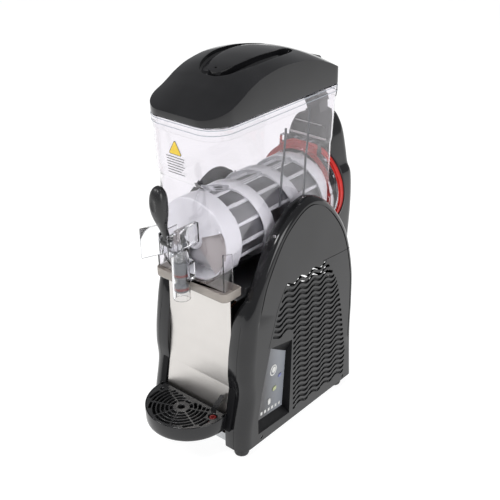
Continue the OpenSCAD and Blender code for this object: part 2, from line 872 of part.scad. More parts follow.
function grip_edge(d) =
    [for (i = [0 : len(grip_arm) - 1])
        let (q = grip_arm[i], n = i == 0 ? [0, -1] : inward(grip_arm, i))
        [q[0], q[1]] + (d > 0 ? q[2] + d : d - q[2]) * n];

module grip(grow, deep) {
    outer = grip_edge(grow + 0.01);
    inner = grip_edge(-grow - 0.01);
    n = len(outer);
    intersection() {
        translate([0, 0, lid_z + 8]) linear_extrude(100)
            polygon(concat(
                outer,
                [for (i = [n - 1 : -1 : 0]) inner[i]],
                [for (i = [1 : n - 1]) [-inner[i][0], inner[i][1]]],
                [for (i = [n - 1 : -1 : 1]) [-outer[i][0], outer[i][1]]]
            ));
        along_x(-80, 80)
            polygon(concat(
                [[300, 820], [30, 820]],
                [for (y = [30 : 30 : 300]) [y, lid_edge(y) + lid_crown - deep]]
            ));
    }
}

module lid() {
    color("black") place()
        difference() {
            lid_form(0, lid_z);
            difference() {
                lid_form(wall, lid_z - 5);
                grip(2.5, grip_deep + 3);
            }
            grip(0, grip_deep);
        }
}

// ---- drip tray ----

function tray_plan(in) =
    concat(
        [[tray_r - in, 2 - in]],
        [for (a = [0 : -6 : -180]) [(tray_r - in) * cos(a), tray_mid + (tray_r - in) * sin(a)]],
        [[in - tray_r, 2 - in]]
    );

module drip_tray() {
    color("black") place()
        difference() {
            union() {
                translate([0, 0, tray_floor]) linear_extrude(tray_deep) polygon(tray_plan(0));
                both_sides() block([lug_x[0], -6, tray_floor], [lug_x[1], 2, lug_top]);
                both_sides() block([lug_x[0] + 2, 1, lug_top - 26], [lug_x[1] - 2, 22, lug_top - 14]);
            }
            translate([0, 0, tray_floor + 3]) linear_extrude(tray_deep) polygon(tray_plan(3));
            translate([0, 0, tray_top - 5]) linear_extrude(10) polygon(tray_plan(1.5));
        }
}

module drip_grate() {
    color("black") place() {
        difference() {
            translate([0, 0, tray_top - 5]) linear_extrude(4) polygon(tray_plan(1.9));
            for (r = [17 : 9 : 80])
                translate([0, -38, tray_top - 7]) difference() {
                    cylinder(h = 8, r = r + 2.4);
                    translate([0, 0, -1]) cylinder(h = 10, r = r - 2.4);
                    for (a = [0 : 45 : 315])
                        rotate([0, 0, a + 22.5]) translate([0, -2, -1]) cube([120, 4, 12]);
                    block([-120, 30, -1], [120, 90, 12]);
                    both_sides() block([tray_r - 8, -60, -1], [120, 90, 12]);
                    both_sides() block([44, 10, -1], [90, 34, 12]);
                }
            translate([72, -20, tray_top - 7]) cylinder(h = 10, r = 9.5);
            both_sides() block([lug_x[0] - 0.8, -8, tray_top - 7], [tray_r + 2, 4, tray_top + 1]);
        }
        // finger tab that leans back and outwards
        hull() {
            block([55, -9, tray_top - 3], [69, -6.5, tray_top - 1.5]);
            block([71, 5.5, 140], [80.5, 8, 144]);
        }
    }
}

module tray_float() {
    color("firebrick") place()
        translate([72, -20, 0]) {
            translate([0, 0, tray_floor + 3.2]) cylinder(h = 14, r = 12);
            translate([0, 0, tray_floor + 3.2]) cylinder(h = tray_deep - 3.4, r = 7);
        }
}

base_plate();
feet();
right_side_panel();
left_side_panel();
panel_screws();
front_panel();
tray_brackets();
deck();
rear_panel();
tower_cover();
neck();
drum_flange();
drum();
bowl_gasket();
drip_shelf();
gearmotor();
compressor();
condenser();
fan_shroud();
fan_motor();
fan_blades();
filter_drier();
refrigerant_tubes();
control_box();
control_bezel();
display();
key_left();
key_middle();
key_right();
power_inlet();
switch_frame();
power_rocker();
drive_shaft();
shaft_seal();
auger();
bowl();
tap_body();
lever_pin();
tap_spring();
tap_piston();
piston_rings();
tap_lever();
bowl_sticker();
lid();
drip_tray();
drip_grate();
tray_float();
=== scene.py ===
"""Looks of a countertop slush machine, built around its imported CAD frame.

Lengths are in millimetres in the modelling frame: X from the middle of the width, Y rearwards from the
foot of the front pillars, Z up from the worktop. row() turns them into the metres of the row frame.
"""

import json
import math

import bmesh
import bpy
import numpy as np
from mathutils import Matrix, Vector
from mathutils.geometry import delaunay_2d_cdt


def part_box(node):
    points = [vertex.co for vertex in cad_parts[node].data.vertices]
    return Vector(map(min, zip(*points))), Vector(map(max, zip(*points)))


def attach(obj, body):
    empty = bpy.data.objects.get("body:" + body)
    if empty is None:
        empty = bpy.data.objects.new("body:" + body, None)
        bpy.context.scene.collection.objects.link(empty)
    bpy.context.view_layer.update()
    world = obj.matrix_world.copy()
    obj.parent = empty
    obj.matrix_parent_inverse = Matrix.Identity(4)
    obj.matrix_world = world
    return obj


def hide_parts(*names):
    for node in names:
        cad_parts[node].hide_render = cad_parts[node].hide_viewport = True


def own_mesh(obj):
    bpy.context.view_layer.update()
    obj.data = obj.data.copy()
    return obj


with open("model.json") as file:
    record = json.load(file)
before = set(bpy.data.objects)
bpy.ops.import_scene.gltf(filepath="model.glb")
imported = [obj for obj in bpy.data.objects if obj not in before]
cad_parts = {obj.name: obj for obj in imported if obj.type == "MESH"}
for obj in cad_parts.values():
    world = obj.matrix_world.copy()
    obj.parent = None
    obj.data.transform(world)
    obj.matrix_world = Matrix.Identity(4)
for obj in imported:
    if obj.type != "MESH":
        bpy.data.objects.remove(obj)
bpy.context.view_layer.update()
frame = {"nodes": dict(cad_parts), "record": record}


# ---- places taken from the CAD frame ----


def box_mm(node):
    """Lowest and highest corner of a CAD node, in millimetres of the row frame."""
    low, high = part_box(node)
    return np.array(low) * 1000, np.array(high) * 1000


def middle_mm(node):
    """Middle of a CAD node's box, in millimetres of the row frame."""
    low, high = box_mm(node)
    return [float(v) for v in (low + high) / 2]


FOOT_Y = box_mm("base_plate")[0][1] - 12  # the base plate starts 12 mm behind the pillars' foot
FOOT_Z = box_mm("base_plate")[0][2]
HALF_W = box_mm("right_side_panel")[1][0]
AXIS_Z = middle_mm("drum")[2]
DECK_Z = box_mm("deck")[1][2] - 16  # the deck's side flanges rise 16 mm
LID_Z = box_mm("lid")[0][2]
PIVOT_Y = middle_mm("lever_pin")[1] - FOOT_Y
PIVOT_Z = middle_mm("lever_pin")[2]
PISTON_Y = middle_mm("tap_piston")[1] - FOOT_Y
TRAY_TOP = box_mm("drip_tray")[1][2] - 59  # the tray's lugs stand 59 mm above its rim
PANEL_IN = 101  # inner edge of a side panel's rim
PILLAR_GAP = 84  # half the width between the two pillars


def row(points):
    """Modelling millimetres to metres in the row frame."""
    p = np.array(points, float).reshape(-1, 3)
    p[:, 1] += FOOT_Y
    return p / 1000


# ---- camera ----

AZIMUTH, ELEVATION, ROLL = (math.radians(a) for a in (41.30, 27.58, -1.043))
LENS, CAMERA_AT = 66.28, (1128.19, -1097.53, 1270.47)
right = Vector((math.cos(AZIMUTH), math.sin(AZIMUTH), 0))
level = math.cos(ELEVATION)
back = Vector((math.sin(AZIMUTH) * level, -math.cos(AZIMUTH) * level, math.sin(ELEVATION)))
up = back.cross(right)
turned_right = math.cos(ROLL) * right + math.sin(ROLL) * up
turned_up = -math.sin(ROLL) * right + math.cos(ROLL) * up
camera = bpy.data.objects.new("camera", bpy.data.cameras.new("camera"))
camera.data.sensor_width = 36
camera.data.lens = LENS
camera.data.clip_end = 100
place = Matrix((turned_right, turned_up, back)).transposed().to_4x4()
place.translation = Vector(row([CAMERA_AT])[0])
camera.matrix_world = place
bpy.context.scene.collection.objects.link(camera)
bpy.context.scene.camera = camera


# ---- materials ----


def link(tree, source, target):
    tree.links.new(source, target)


def noise(tree, coords, size_mm, detail=3.0, stretch=(1, 1, 1)):
    """Noise whose features are about size_mm across, in the object's own space."""
    mapping = tree.nodes.new("ShaderNodeMapping")
    mapping.inputs["Scale"].default_value = tuple(1000 / size_mm * s for s in stretch)
    link(tree, coords, mapping.inputs["Vector"])
    node = tree.nodes.new("ShaderNodeTexNoise")
    node.inputs["Scale"].default_value = 1.0
    node.inputs["Detail"].default_value = detail
    link(tree, mapping.outputs["Vector"], node.inputs["Vector"])
    return node.outputs["Fac"]


def spread(tree, value, low, high, start=0.3, end=0.7):
    """A value from start to end, turned into one from low to high."""
    node = tree.nodes.new("ShaderNodeMapRange")
    link(tree, value, node.inputs["Value"])
    for name, number in (("From Min", start), ("From Max", end), ("To Min", low), ("To Max", high)):
        node.inputs[name].default_value = number
    return node.outputs["Result"]


def mixed(tree, factor, a, b):
    """A colour between a and b, each a colour or a socket."""
    node = tree.nodes.new("ShaderNodeMix")
    node.data_type = "RGBA"
    link(tree, factor, node.inputs["Factor"])
    for socket, value in ((node.inputs["A"], a), (node.inputs["B"], b)):
        if isinstance(value, bpy.types.NodeSocket):
            link(tree, value, socket)
        else:
            socket.default_value = (*value, 1)
    return node.outputs["Result"]


def new_material(name):
    """A new material with its tree, its shader and the object's own coordinates."""
    m = bpy.data.materials.new(name)
    m.use_nodes = True
    tree = m.node_tree
    return m, tree, tree.nodes["Principled BSDF"], tree.nodes.new("ShaderNodeTexCoord").outputs["Object"]


def material(name, colour, rough, metal=0.0, vary=0.1, patch=40.0, rough_vary=0.05, grain=0.0,
             grain_size=0.6, stretch=(1, 1, 1), sheen=0.0, specular=0.5, wear=0.0):
    """Opaque finish: colour and gloss vary slowly over patches, and grain is a fine bump."""
    m, tree, shader, coords = new_material(name)
    dark = tuple(c * (1 - vary) for c in colour)
    light = tuple(min(1, c * (1 + vary)) for c in colour)
    tone = mixed(tree, spread(tree, noise(tree, coords, patch), 0, 1), dark, light)
    if wear:
        edge = tree.nodes.new("ShaderNodeNewGeometry").outputs["Pointiness"]
        worn = spread(tree, edge, 0, wear, 0.52, 0.6)
        tone = mixed(tree, worn, tone, tuple(min(1, c * 2.2 + 0.02) for c in colour))
    link(tree, tone, shader.inputs["Base Color"])
    smudge = noise(tree, coords, patch * 0.37, 5.0, stretch)
    gloss = spread(tree, smudge, max(0.02, rough - rough_vary), rough + rough_vary)
    link(tree, gloss, shader.inputs["Roughness"])
    shader.inputs["Metallic"].default_value = metal
    shader.inputs["Sheen Weight"].default_value = sheen
    shader.inputs["Specular IOR Level"].default_value = specular
    if grain:
        bump = tree.nodes.new("ShaderNodeBump")
        bump.inputs["Strength"].default_value = grain
        bump.inputs["Distance"].default_value = 0.0003
        link(tree, noise(tree, coords, grain_size, 2.0, stretch), bump.inputs["Height"])
        link(tree, bump.outputs["Normal"], shader.inputs["Normal"])
    return m


SHADOW_TINT = 0.9  # how much of its tint a clear piece's shadow keeps


def clear(name, tint, rough, ior=1.45, weight=1.0):
    """Clear plastic that lets most of the lamps' light through."""
    m, tree, shader, coords = new_material(name)
    shader.inputs["Base Color"].default_value = (*tint, 1)
    shader.inputs["Transmission Weight"].default_value = weight
    shader.inputs["IOR"].default_value = ior
    haze = noise(tree, coords, 55, 4.0)
    link(tree, spread(tree, haze, rough * 0.5, rough * 1.6), shader.inputs["Roughness"])
    through = tree.nodes.new("ShaderNodeBsdfTransparent")
    through.inputs["Color"].default_value = (*(c * SHADOW_TINT for c in tint), 1)
    mix = tree.nodes.new("ShaderNodeMixShader")
    link(tree, tree.nodes.new("ShaderNodeLightPath").outputs["Is Shadow Ray"], mix.inputs["Fac"])
    link(tree, shader.outputs["BSDF"], mix.inputs[1])
    link(tree, through.outputs["BSDF"], mix.inputs[2])
    link(tree, mix.outputs["Shader"], tree.nodes["Material Output"].inputs["Surface"])
    return m


def shaded(name, start, end, dark, light, rough):
    """A sheet with painted light: its tone runs from dark to light between two places along Y, in metres."""
    m = material(name, dark, rough)
    tree = m.node_tree
    split = tree.nodes.new("ShaderNodeSeparateXYZ")
    link(tree, tree.nodes["Texture Coordinate"].outputs["Object"], split.inputs["Vector"])
    tone = mixed(tree, spread(tree, split.outputs["Y"], 0, 1, start, end), dark, light)
    link(tree, tone, tree.nodes["Principled BSDF"].inputs["Base Color"])
    return m


OPAQUE = {  # colour, roughness, and how the finish varies
    "gloss_black": ((0.009, 0.009, 0.01), 0.1, dict(vary=0.25, patch=70, rough_vary=0.03, grain=0.02, grain_size=3.5)),
    "satin_black": ((0.022, 0.022, 0.024), 0.42, dict(vary=0.2, grain=0.35, grain_size=0.5, wear=0.3)),
    "lever_black": ((0.014, 0.014, 0.015), 0.3, dict(vary=0.2, grain=0.2, grain_size=0.45, wear=0.25)),
    # A darker, less glossy copy of the black plastic: painted shade in the control recess and on the tray lugs.
    "painted_shade_black": ((0.006, 0.006, 0.007), 0.5, dict(vary=0.2, patch=30, grain=0.2, specular=0.12)),
    "grate_black": ((0.016, 0.016, 0.017), 0.22, dict(vary=0.2, patch=20, grain=0.12, grain_size=1.5, wear=0.2)),
    "rubber_black": ((0.02, 0.02, 0.021), 0.62, dict(vary=0.2, patch=8, grain=0.4, grain_size=0.5, sheen=0.1)),
    "black_steel": ((0.018, 0.018, 0.02), 0.5, dict(vary=0.2, grain=0.5, grain_size=0.8, wear=0.4)),
    "stainless": ((0.66, 0.635, 0.61), 0.36, dict(metal=1, vary=0.04, patch=90, rough_vary=0.04, grain=0.04,
                                                  grain_size=0.5, stretch=(0.02, 1, 1))),
    "drum_steel": ((0.46, 0.46, 0.475), 0.42, dict(metal=1, vary=0.05, grain=0.05, grain_size=0.5,
                                                   stretch=(0.1, 1, 0.1))),
    "zinc_steel": ((0.5, 0.51, 0.52), 0.38, dict(metal=1, vary=0.14, patch=14, grain=0.1)),
    "screw_steel": ((0.55, 0.55, 0.56), 0.3, dict(metal=1, vary=0.1, patch=3)),
    "spring_steel": ((0.58, 0.58, 0.58), 0.25, dict(metal=1, vary=0.05, patch=5)),
    "fin_aluminium": ((0.76, 0.77, 0.78), 0.32, dict(metal=1, vary=0.06, grain=0.1)),
    "copper": ((0.72, 0.36, 0.2), 0.28, dict(metal=1, vary=0.16, patch=12, rough_vary=0.1)),
    "auger_white": ((0.83, 0.84, 0.86), 0.32, dict(vary=0.03, grain=0.1, grain_size=1.2)),
    # A darker, warmer copy of the auger's white: painted shade on the nose's scoop sector.
    "nose_painted_shade": ((0.42, 0.385, 0.375), 0.38, dict(vary=0.05, patch=25, grain=0.1, grain_size=1.2)),
    "silicone_red": ((0.6, 0.03, 0.025), 0.42, dict(vary=0.12, patch=12, grain=0.15, grain_size=0.8, sheen=0.05)),
    "float_red": ((0.16, 0.012, 0.012), 0.3, dict(vary=0.15, patch=6, grain=0.1)),
    "switch_red": ((0.5, 0.02, 0.02), 0.25, dict(vary=0.1, patch=6)),
    "piston_grey": ((0.1, 0.105, 0.115), 0.36, dict(vary=0.1, grain=0.1)),
    "gear_grey": ((0.18, 0.2, 0.23), 0.42, dict(vary=0.12, grain=0.35, grain_size=1.4, wear=0.5)),
    "white_plastic": ((0.72, 0.72, 0.7), 0.4, dict(vary=0.04, grain=0.25)),
    "key_grey": ((0.42, 0.45, 0.5), 0.45, dict(vary=0.08, patch=3, grain=0.2)),
    "key_lime": ((0.46, 0.5, 0.27), 0.4, dict(vary=0.1, patch=4, grain=0.2)),
    "key_blue": ((0.2, 0.22, 0.42), 0.4, dict(vary=0.1, patch=4, grain=0.2)),
    "sticker": ((0.85, 0.6, 0.05), 0.4, dict(vary=0.05, patch=6)),
}
MATERIALS = {name: material(name, colour, rough, **rest) for name, (colour, rough, rest) in OPAQUE.items()}
MATERIALS["clear_bowl"] = clear("clear_bowl", (0.905, 0.89, 0.915), 0.02)
MATERIALS["clear_tap"] = clear("clear_tap", (0.95, 0.955, 0.965), 0.05)
MATERIALS["smoke_clear"] = clear("smoke_clear", (0.52, 0.48, 0.44), 0.14, ior=1.4, weight=0.5)
# The control plate is painted dark at the front and light at the rear: painted light over the plate.
label_start, label_end = (float(y) for y in row([(0, 70, 0), (0, 152, 0)])[:, 1])
MATERIALS["display_glass"] = shaded("display_glass", label_start, label_end, (0.05, 0.05, 0.053),
                                    (0.33, 0.35, 0.39), 0.4)
FINISH = {s["node"]: s["material_slot"] for s in frame["record"]["subparts"]}


# ---- mesh helpers ----


def curve(points, n):
    """Catmull-Rom curve through the points, with n steps between two of them."""
    p = np.array(points, float)
    out = []
    for i in range(len(p) - 1):
        a, b, c, d = p[max(i - 1, 0)], p[i], p[i + 1], p[min(i + 2, len(p) - 1)]
        for t in np.arange(n) / n:
            bend = (2 * a - 5 * b + 4 * c - d) * t**2 + (3 * b - a - 3 * c + d) * t**3
            out.append(0.5 * (2 * b + (c - a) * t + bend))
    return np.array(out + [p[-1]])


def inward(p):
    """Unit normals to the right of the way along p."""
    t = np.gradient(p, axis=0)
    t /= np.linalg.norm(t, axis=1)[:, None]
    return np.stack([t[:, 1], -t[:, 0]], 1)


class Shape:
    """A growing mesh in modelling millimetres."""

    def __init__(self):
        self.points, self.faces = [], []

    def add(self, points):
        """Adds points and returns their numbers."""
        start = len(self.points)
        self.points.extend(map(tuple, np.array(points, float)))
        return list(range(start, len(self.points)))

    def strip(self, a, b, closed=False):
        """Quads between two rows of equally many point numbers."""
        n = len(a)
        for i in range(n if closed else n - 1):
            k = (i + 1) % n
            self.faces.append((a[i], a[k], b[k], b[i]))

    def loft(self, rings, caps=True):
        """Skin over closed rings of equally many points, with flat ends."""
        rows = [self.add(r) for r in rings]
        for a, b in zip(rows, rows[1:]):
            self.strip(a, b, closed=True)
        if caps:
            self.faces.append(tuple(reversed(rows[0])))
            self.faces.append(tuple(rows[-1]))

    def hoop(self, rings):
        """Skin over closed rings, the last of them joined to the first."""
        rows = [self.add(r) for r in rings]
        for a, b in zip(rows, rows[1:] + rows[:1]):
            self.strip(a, b, closed=True)

    def merge(self, other):
        start = len(self.points)
        self.points.extend(other.points)
        self.faces.extend(tuple(i + start for i in f) for f in other.faces)


def lofted(rings):
    """A closed solid through rings of equally many points."""
    s = Shape()
    s.loft(rings)
    return s


def outward(mesh):
    """Turns all faces outwards."""
    b = bmesh.new()
    b.from_mesh(mesh)
    bmesh.ops.recalc_face_normals(b, faces=b.faces)
    b.to_mesh(mesh)
    b.free()


def build(name, shape, finish=None, smooth=35.0):
    """A Blender object from a shape, with a finish and normals that stay sharp above an angle."""
    mesh = bpy.data.meshes.new(name)
    mesh.from_pydata(row(shape.points).tolist(), [], shape.faces)
    mesh.validate()
    outward(mesh)
    obj = bpy.data.objects.new(name, mesh)
    bpy.context.scene.collection.objects.link(obj)
    if finish is not None:
        mesh.materials.append(MATERIALS[finish])
    soften(obj, smooth)
    return obj


def soften(obj, angle=35.0):
    """Smooth shading, with edges above the angle left sharp."""
    obj.data.shade_smooth()
    obj.data.set_sharp_from_angle(angle=math.radians(angle))


def bake_modifiers(obj):
    """Turns the piece's modifiers into mesh."""
    bpy.context.view_layer.update()
    mesh = bpy.data.meshes.new_from_object(obj.evaluated_get(bpy.context.evaluated_depsgraph_get()))
    old = obj.data
    obj.modifiers.clear()
    obj.data = mesh
    bpy.data.meshes.remove(old)


def combine(obj, other, how="DIFFERENCE", angle=35.0):
    """Boolean of obj with a shape, or with another object, which is used up."""
    if isinstance(other, Shape):
        other = build("other", other)
    m = obj.modifiers.new("cut", "BOOLEAN")
    m.operation, m.solver, m.object = how, "MANIFOLD", other
    bake_modifiers(obj)
    bpy.data.objects.remove(other)
    soften(obj, angle)
    return obj


def rounded(obj, width_mm, segments=2, angle=40.0):
    """Rounds the sharp edges of a piece."""
    m = obj.modifiers.new("edges", "BEVEL")
    m.width, m.segments, m.limit_method = width_mm / 1000, segments, "ANGLE"
    m.angle_limit = math.radians(angle)
    m.miter_outer = "MITER_ARC"
    return obj


def rounded_mesh(obj, width_mm, segments, angle, smooth):
    """As rounded, but turned into mesh for good."""
    rounded(obj, width_mm, segments, angle)
    bake_modifiers(obj)
    soften(obj, smooth)


def on_body(obj, body, *nodes, slot=None):
    """The piece rides on a body and hides the CAD nodes it stands for; their finish slot is looked up but not given to
    the piece.
    """
    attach(obj, body)
    if nodes:
        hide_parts(*nodes)
        slot = slot or FINISH[nodes[0]]
    return obj


def lifted(outline, level, axis="z"):
    """A flat outline on two of the axes, set at a level of the third, which is named."""
    at = "xyz".index(axis)
    return [(*p[:at], level, *p[at:]) for p in outline]


def prism(axis, outline, low, high):
    """A flat outline drawn out along an axis."""
    return lofted([lifted(outline, level, axis) for level in (low, high)])


def block(low, high):
    """A box between two corners."""
    (x0, y0, z0), (x1, y1, z1) = low, high
    return prism("z", [(x0, y0), (x1, y0), (x1, y1), (x0, y1)], z0, z1)


def turned(profile, centre, axis="z", steps=64):
    """A closed profile of (radius, place along the axis) turned about a Z or Y axis through centre."""
    x, y, z = centre
    rings = []
    for k in range(steps):
        a = 2 * math.pi * k / steps
        c, d = math.cos(a), math.sin(a)
        if axis == "z":
            rings.append([(x + r * c, y + r * d, z + h) for r, h in profile])
        else:
            rings.append([(x + r * c, y + h, z + r * d) for r, h in profile])
    s = Shape()
    s.hoop(rings)
    return s


def tube(points, r, steps=10, closed=False):
    """A round wire along points, with frames that don't twist."""
    p = np.array(points, float)
    n = len(p)
    t = (np.roll(p, -1, 0) - np.roll(p, 1, 0)) if closed else np.gradient(p, axis=0)
    t /= np.linalg.norm(t, axis=1)[:, None]
    side = np.cross(t[0], (0.31, 0.52, 0.8))
    side /= np.linalg.norm(side)
    rings = []
    for i in range(n):
        side = side - t[i] * side.dot(t[i])
        side /= np.linalg.norm(side)
        other = np.cross(t[i], side)
        a = np.arange(steps) * 2 * math.pi / steps
        rings.append(p[i] + r * (np.cos(a)[:, None] * side + np.sin(a)[:, None] * other))
    s = Shape()
    s.loft(rings, caps=not closed)
    if closed:
        s.strip(list(range((n - 1) * steps, n * steps)), list(range(steps)), closed=True)
    return s


def arc(cx, cy, r, a0, a1, n):
    """Points on a circle from angle a0 to a1, in degrees."""
    angles = np.radians(np.linspace(a0, a1, n))
    return [(cx + r * math.cos(a), cy + r * math.sin(a)) for a in angles]


def plan(half, y0, y1, r_front, r_back, n=8):
    """Rounded rectangle in plan, anticlockwise from the right rear corner."""
    back_x, front_x = half - r_back, half - r_front
    return (arc(back_x, y1 - r_back, r_back, 0, 90, n) + arc(-back_x, y1 - r_back, r_back, 90, 180, n)
            + arc(-front_x, y0 + r_front, r_front, 180, 270, n) + arc(front_x, y0 + r_front, r_front, 270, 360, n))


def squircle(cx, cy, a, b, power=2.5, n=40):
    """A closed outline between an ellipse (power 2) and a rectangle."""

    def flattened(v):
        return math.copysign(abs(v) ** (2 / power), v)

    around = np.linspace(0, 2 * math.pi, n, endpoint=False)
    return [(cx + a * flattened(math.cos(t)), cy + b * flattened(math.sin(t))) for t in around]


def lookup(x, pairs):
    """The value at x of straight lines between (x, value) pairs."""
    xs, ys = zip(*pairs)
    return float(np.interp(x, xs, ys))


def mirrored(shape):
    """The shape on the other side of the middle plane."""
    s = Shape()
    s.points = [(-x, y, z) for x, y, z in shape.points]
    s.faces = [tuple(reversed(f)) for f in shape.faces]
    return s


# ---- flat pierced plates ----


def grown(outline, d):
    """A closed outline moved outwards by d (inwards when negative)."""
    p = np.array(outline, float)
    t = np.roll(p, -1, 0) - np.roll(p, 1, 0)
    t /= np.maximum(np.linalg.norm(t, axis=1), 1e-9)[:, None]
    n = np.stack([t[:, 1], -t[:, 0]], 1)
    area = np.sum(p[:, 0] * np.roll(p[:, 1], -1) - np.roll(p[:, 0], -1) * p[:, 1])
    return p + n * (d if area > 0 else -d)


def inside(points, outline):
    """Whether each point lies in a closed outline."""
    x, y = points[:, 0], points[:, 1]
    o = np.array(outline)
    hit = np.zeros(len(points), bool)
    for (x0, y0), (x1, y1) in zip(o, np.roll(o, -1, 0)):
        if y0 == y1:
            continue
        crosses = (y0 > y) != (y1 > y)
        hit ^= crosses & (x < (x1 - x0) * (y - y0) / (y1 - y0) + x0)
    return hit


def filled(shape, level, axis, edge, holes):
    """Flat triangles inside an edge and outside the holes, all lists of point numbers."""
    first = 1 if axis == "x" else 0
    loops = [edge] + holes
    numbers = [n for loop in loops for n in loop]
    flat = [Vector(shape.points[n][first:first + 2]) for n in numbers]
    edges, start = [], 0
    for loop in loops:
        edges += [(start + j, start + (j + 1) % len(loop)) for j in range(len(loop))]
        start += len(loop)
    where, _, faces, origin = delaunay_2d_cdt(flat, edges, [], 1, 1e-6)[:4]
    own = [numbers[o[0]] if o else shape.add(lifted([w], level, axis))[0] for o, w in zip(origin, where)]
    middles = np.array([np.mean([tuple(where[j]) for j in f], axis=0) for f in faces])
    outlines = [[shape.points[n][first:first + 2] for n in loop] for loop in loops]
    drop = ~inside(middles, outlines[0])
    for hole in outlines[1:]:
        drop |= inside(middles, hole)
    shape.faces += [tuple(own[j] for j in f) for f, d in zip(faces, drop) if not d]


def walls(shape, outlines, high, low, axis):
    """Walls of (outline, chamfer) pairs from a high face to a low one, and the point numbers of both edges.

    A hole's chamfer is positive, and an outer edge's is negative.
    """
    tops, bottoms = [], []
    for outline, chamfer in outlines:
        rim = shape.add(lifted(grown(outline, chamfer), high, axis))
        wall = shape.add(lifted(outline, high - abs(chamfer), axis))
        foot = shape.add(lifted(outline, low, axis))
        shape.strip(rim, wall, closed=True)
        shape.strip(wall, foot, closed=True)
        tops.append(rim)
        bottoms.append(foot)
    return tops, bottoms


def pierced(outline, holes, low, high, chamfer):
    """A level slab with holes, chamfered on its upper face."""
    s = Shape()
    tops, bottoms = walls(s, [(outline, -chamfer)] + [(h, chamfer) for h in holes], high, low, "z")
    filled(s, high, "z", tops[0], tops[1:])
    filled(s, low, "z", bottoms[0], bottoms[1:])
    return s


# ---- side panels ----

SIDE_LINE = curve([[0, FOOT_Z], [2, 70], [16, 140], [14, 195], [22, 262], [48, 350], [112, 458], [166, 505],
                   [214, 522], [258, 510], [308, 466], [350, 400], [375, 308], [379, 225], [377, 140],
                   [383, FOOT_Z]], 9)
SIDE_IN = inward(SIDE_LINE)
WALL, SEAM = 3, 0.9
VENT_PITCH, VENT_GAP, WAVE_LENGTH, WAVE_RISE = 12.8, 6.0, 44.0, 4.2
RECESS = [(49, 46), (151, 42), (160, 224), (91, 237), (62, 141), (49, 82)]


def smooth_step(x, a, b):
    """0 up to a, 1 from b on, and smooth in between."""
    t = min(1.0, max(0.0, (x - a) / (b - a)))
    return t * t * (3 - 2 * t)


def panel_rings(extra):
    """Rings from the panel's inner edge, over its rounded rim, to the flat outer face, set in by extra."""
    rim_angles = np.radians(np.linspace(0, 90, 11))
    columns = []
    for i, ((y, z), n) in enumerate(zip(SIDE_LINE, SIDE_IN)):
        front = y < 120
        over = smooth_step(z, 300, 400)
        x_in = PILLAR_GAP + (PANEL_IN - PILLAR_GAP) * (smooth_step(z, 322, 372) if front else 1)
        # (x, inset) steps of the rim on a pillar, on the arch above and at the rear
        pillar = [(x_in, 9), (x_in, 4), (x_in + 1.2, 1.2), (x_in + 4, 0.1), (106, 0), (109, 0), (HALF_W - 27, 0)]
        arch = [(PANEL_IN, 9), (PANEL_IN + 0.4, 6.4), (PANEL_IN + 2.2, 4), (PANEL_IN + 5, 2.1), (110, 0.8),
                (115, 0.15), (HALF_W - 13, 0)]
        rear = [(PANEL_IN, 3), (PANEL_IN, 2), (PANEL_IN + 1, 0.6), (PANEL_IN + 3, 0), (106, 0), (109, 0),
                (HALF_W - 13, 0)]
        base = pillar if front else rear
        steps = [(a[0] + (b[0] - a[0]) * over, a[1] + (b[1] - a[1]) * over) for a, b in zip(base, arch)]
        r = min(13 if y > 190 else lookup(z, [(250, 27), (420, 13)]), HALF_W - steps[-1][0])
        groove = 2.4 * (over if front else smooth_step(z, 120, 150))
        steps += [(HALF_W - r * (1 - math.sin(a)), r * (1 - math.cos(a))) for a in rim_angles]
        steps += [(HALF_W - groove, r + 0.5), (HALF_W - groove, r + 2.1), (HALF_W, r + 2.7)]
        column = []
        for x, inset in steps:
            at_y, at_z = np.array((y, z)) + (inset + extra) * n
            if i in (0, len(SIDE_LINE) - 1):
                at_z = FOOT_Z
            column.append((min(x, HALF_W - extra) if extra else x, at_y, at_z))
        columns.append(column)
    return [np.array(r) for r in zip(*columns)]


def vent_outline(z, y0, y1):
    """A wavy slot with round ends."""
    n = max(6, int((y1 - y0) / 3))
    ys = np.linspace(y0, y1, n)
    zs = z + WAVE_RISE * np.sin(2 * math.pi * ys / WAVE_LENGTH)
    h = VENT_GAP / 2
    low, high = list(zip(ys, zs - h)), list(zip(ys, zs + h))
    end = [(y1 + h * 0.8 * math.cos(a), zs[-1] + h * math.sin(a)) for a in (-0.9, 0, 0.9)]
    start = [(y0 - h * 0.8 * math.cos(a), zs[0] + h * math.sin(a)) for a in (0.9, 0, -0.9)]
    return np.array(low + end + high[::-1] + start)


def vents():
    """The rows of wavy slots, which start behind the control recess and, above it, at the front seam."""
    start = [(236, 95), (285, 108), (318, 120), (346, 136), (366, 152)]
    end = [(40, 346), (100, 350), (158, 341), (214, 332), (266, 319), (300, 310), (333, 294), (366, 262)]
    out = []
    for z in np.arange(49.6, 360, VENT_PITCH):
        y0 = 165 if z < 245 else lookup(z, start)
        out.append(vent_outline(z, y0 + 1, lookup(z, end)))
    return out


def slit(points):
    """A thin closed outline along an open line: a seam between two mouldings."""
    p = curve(points, 6)
    aside = inward(p) * SEAM / 2
    return np.concatenate([p - aside, (p + aside)[::-1]])


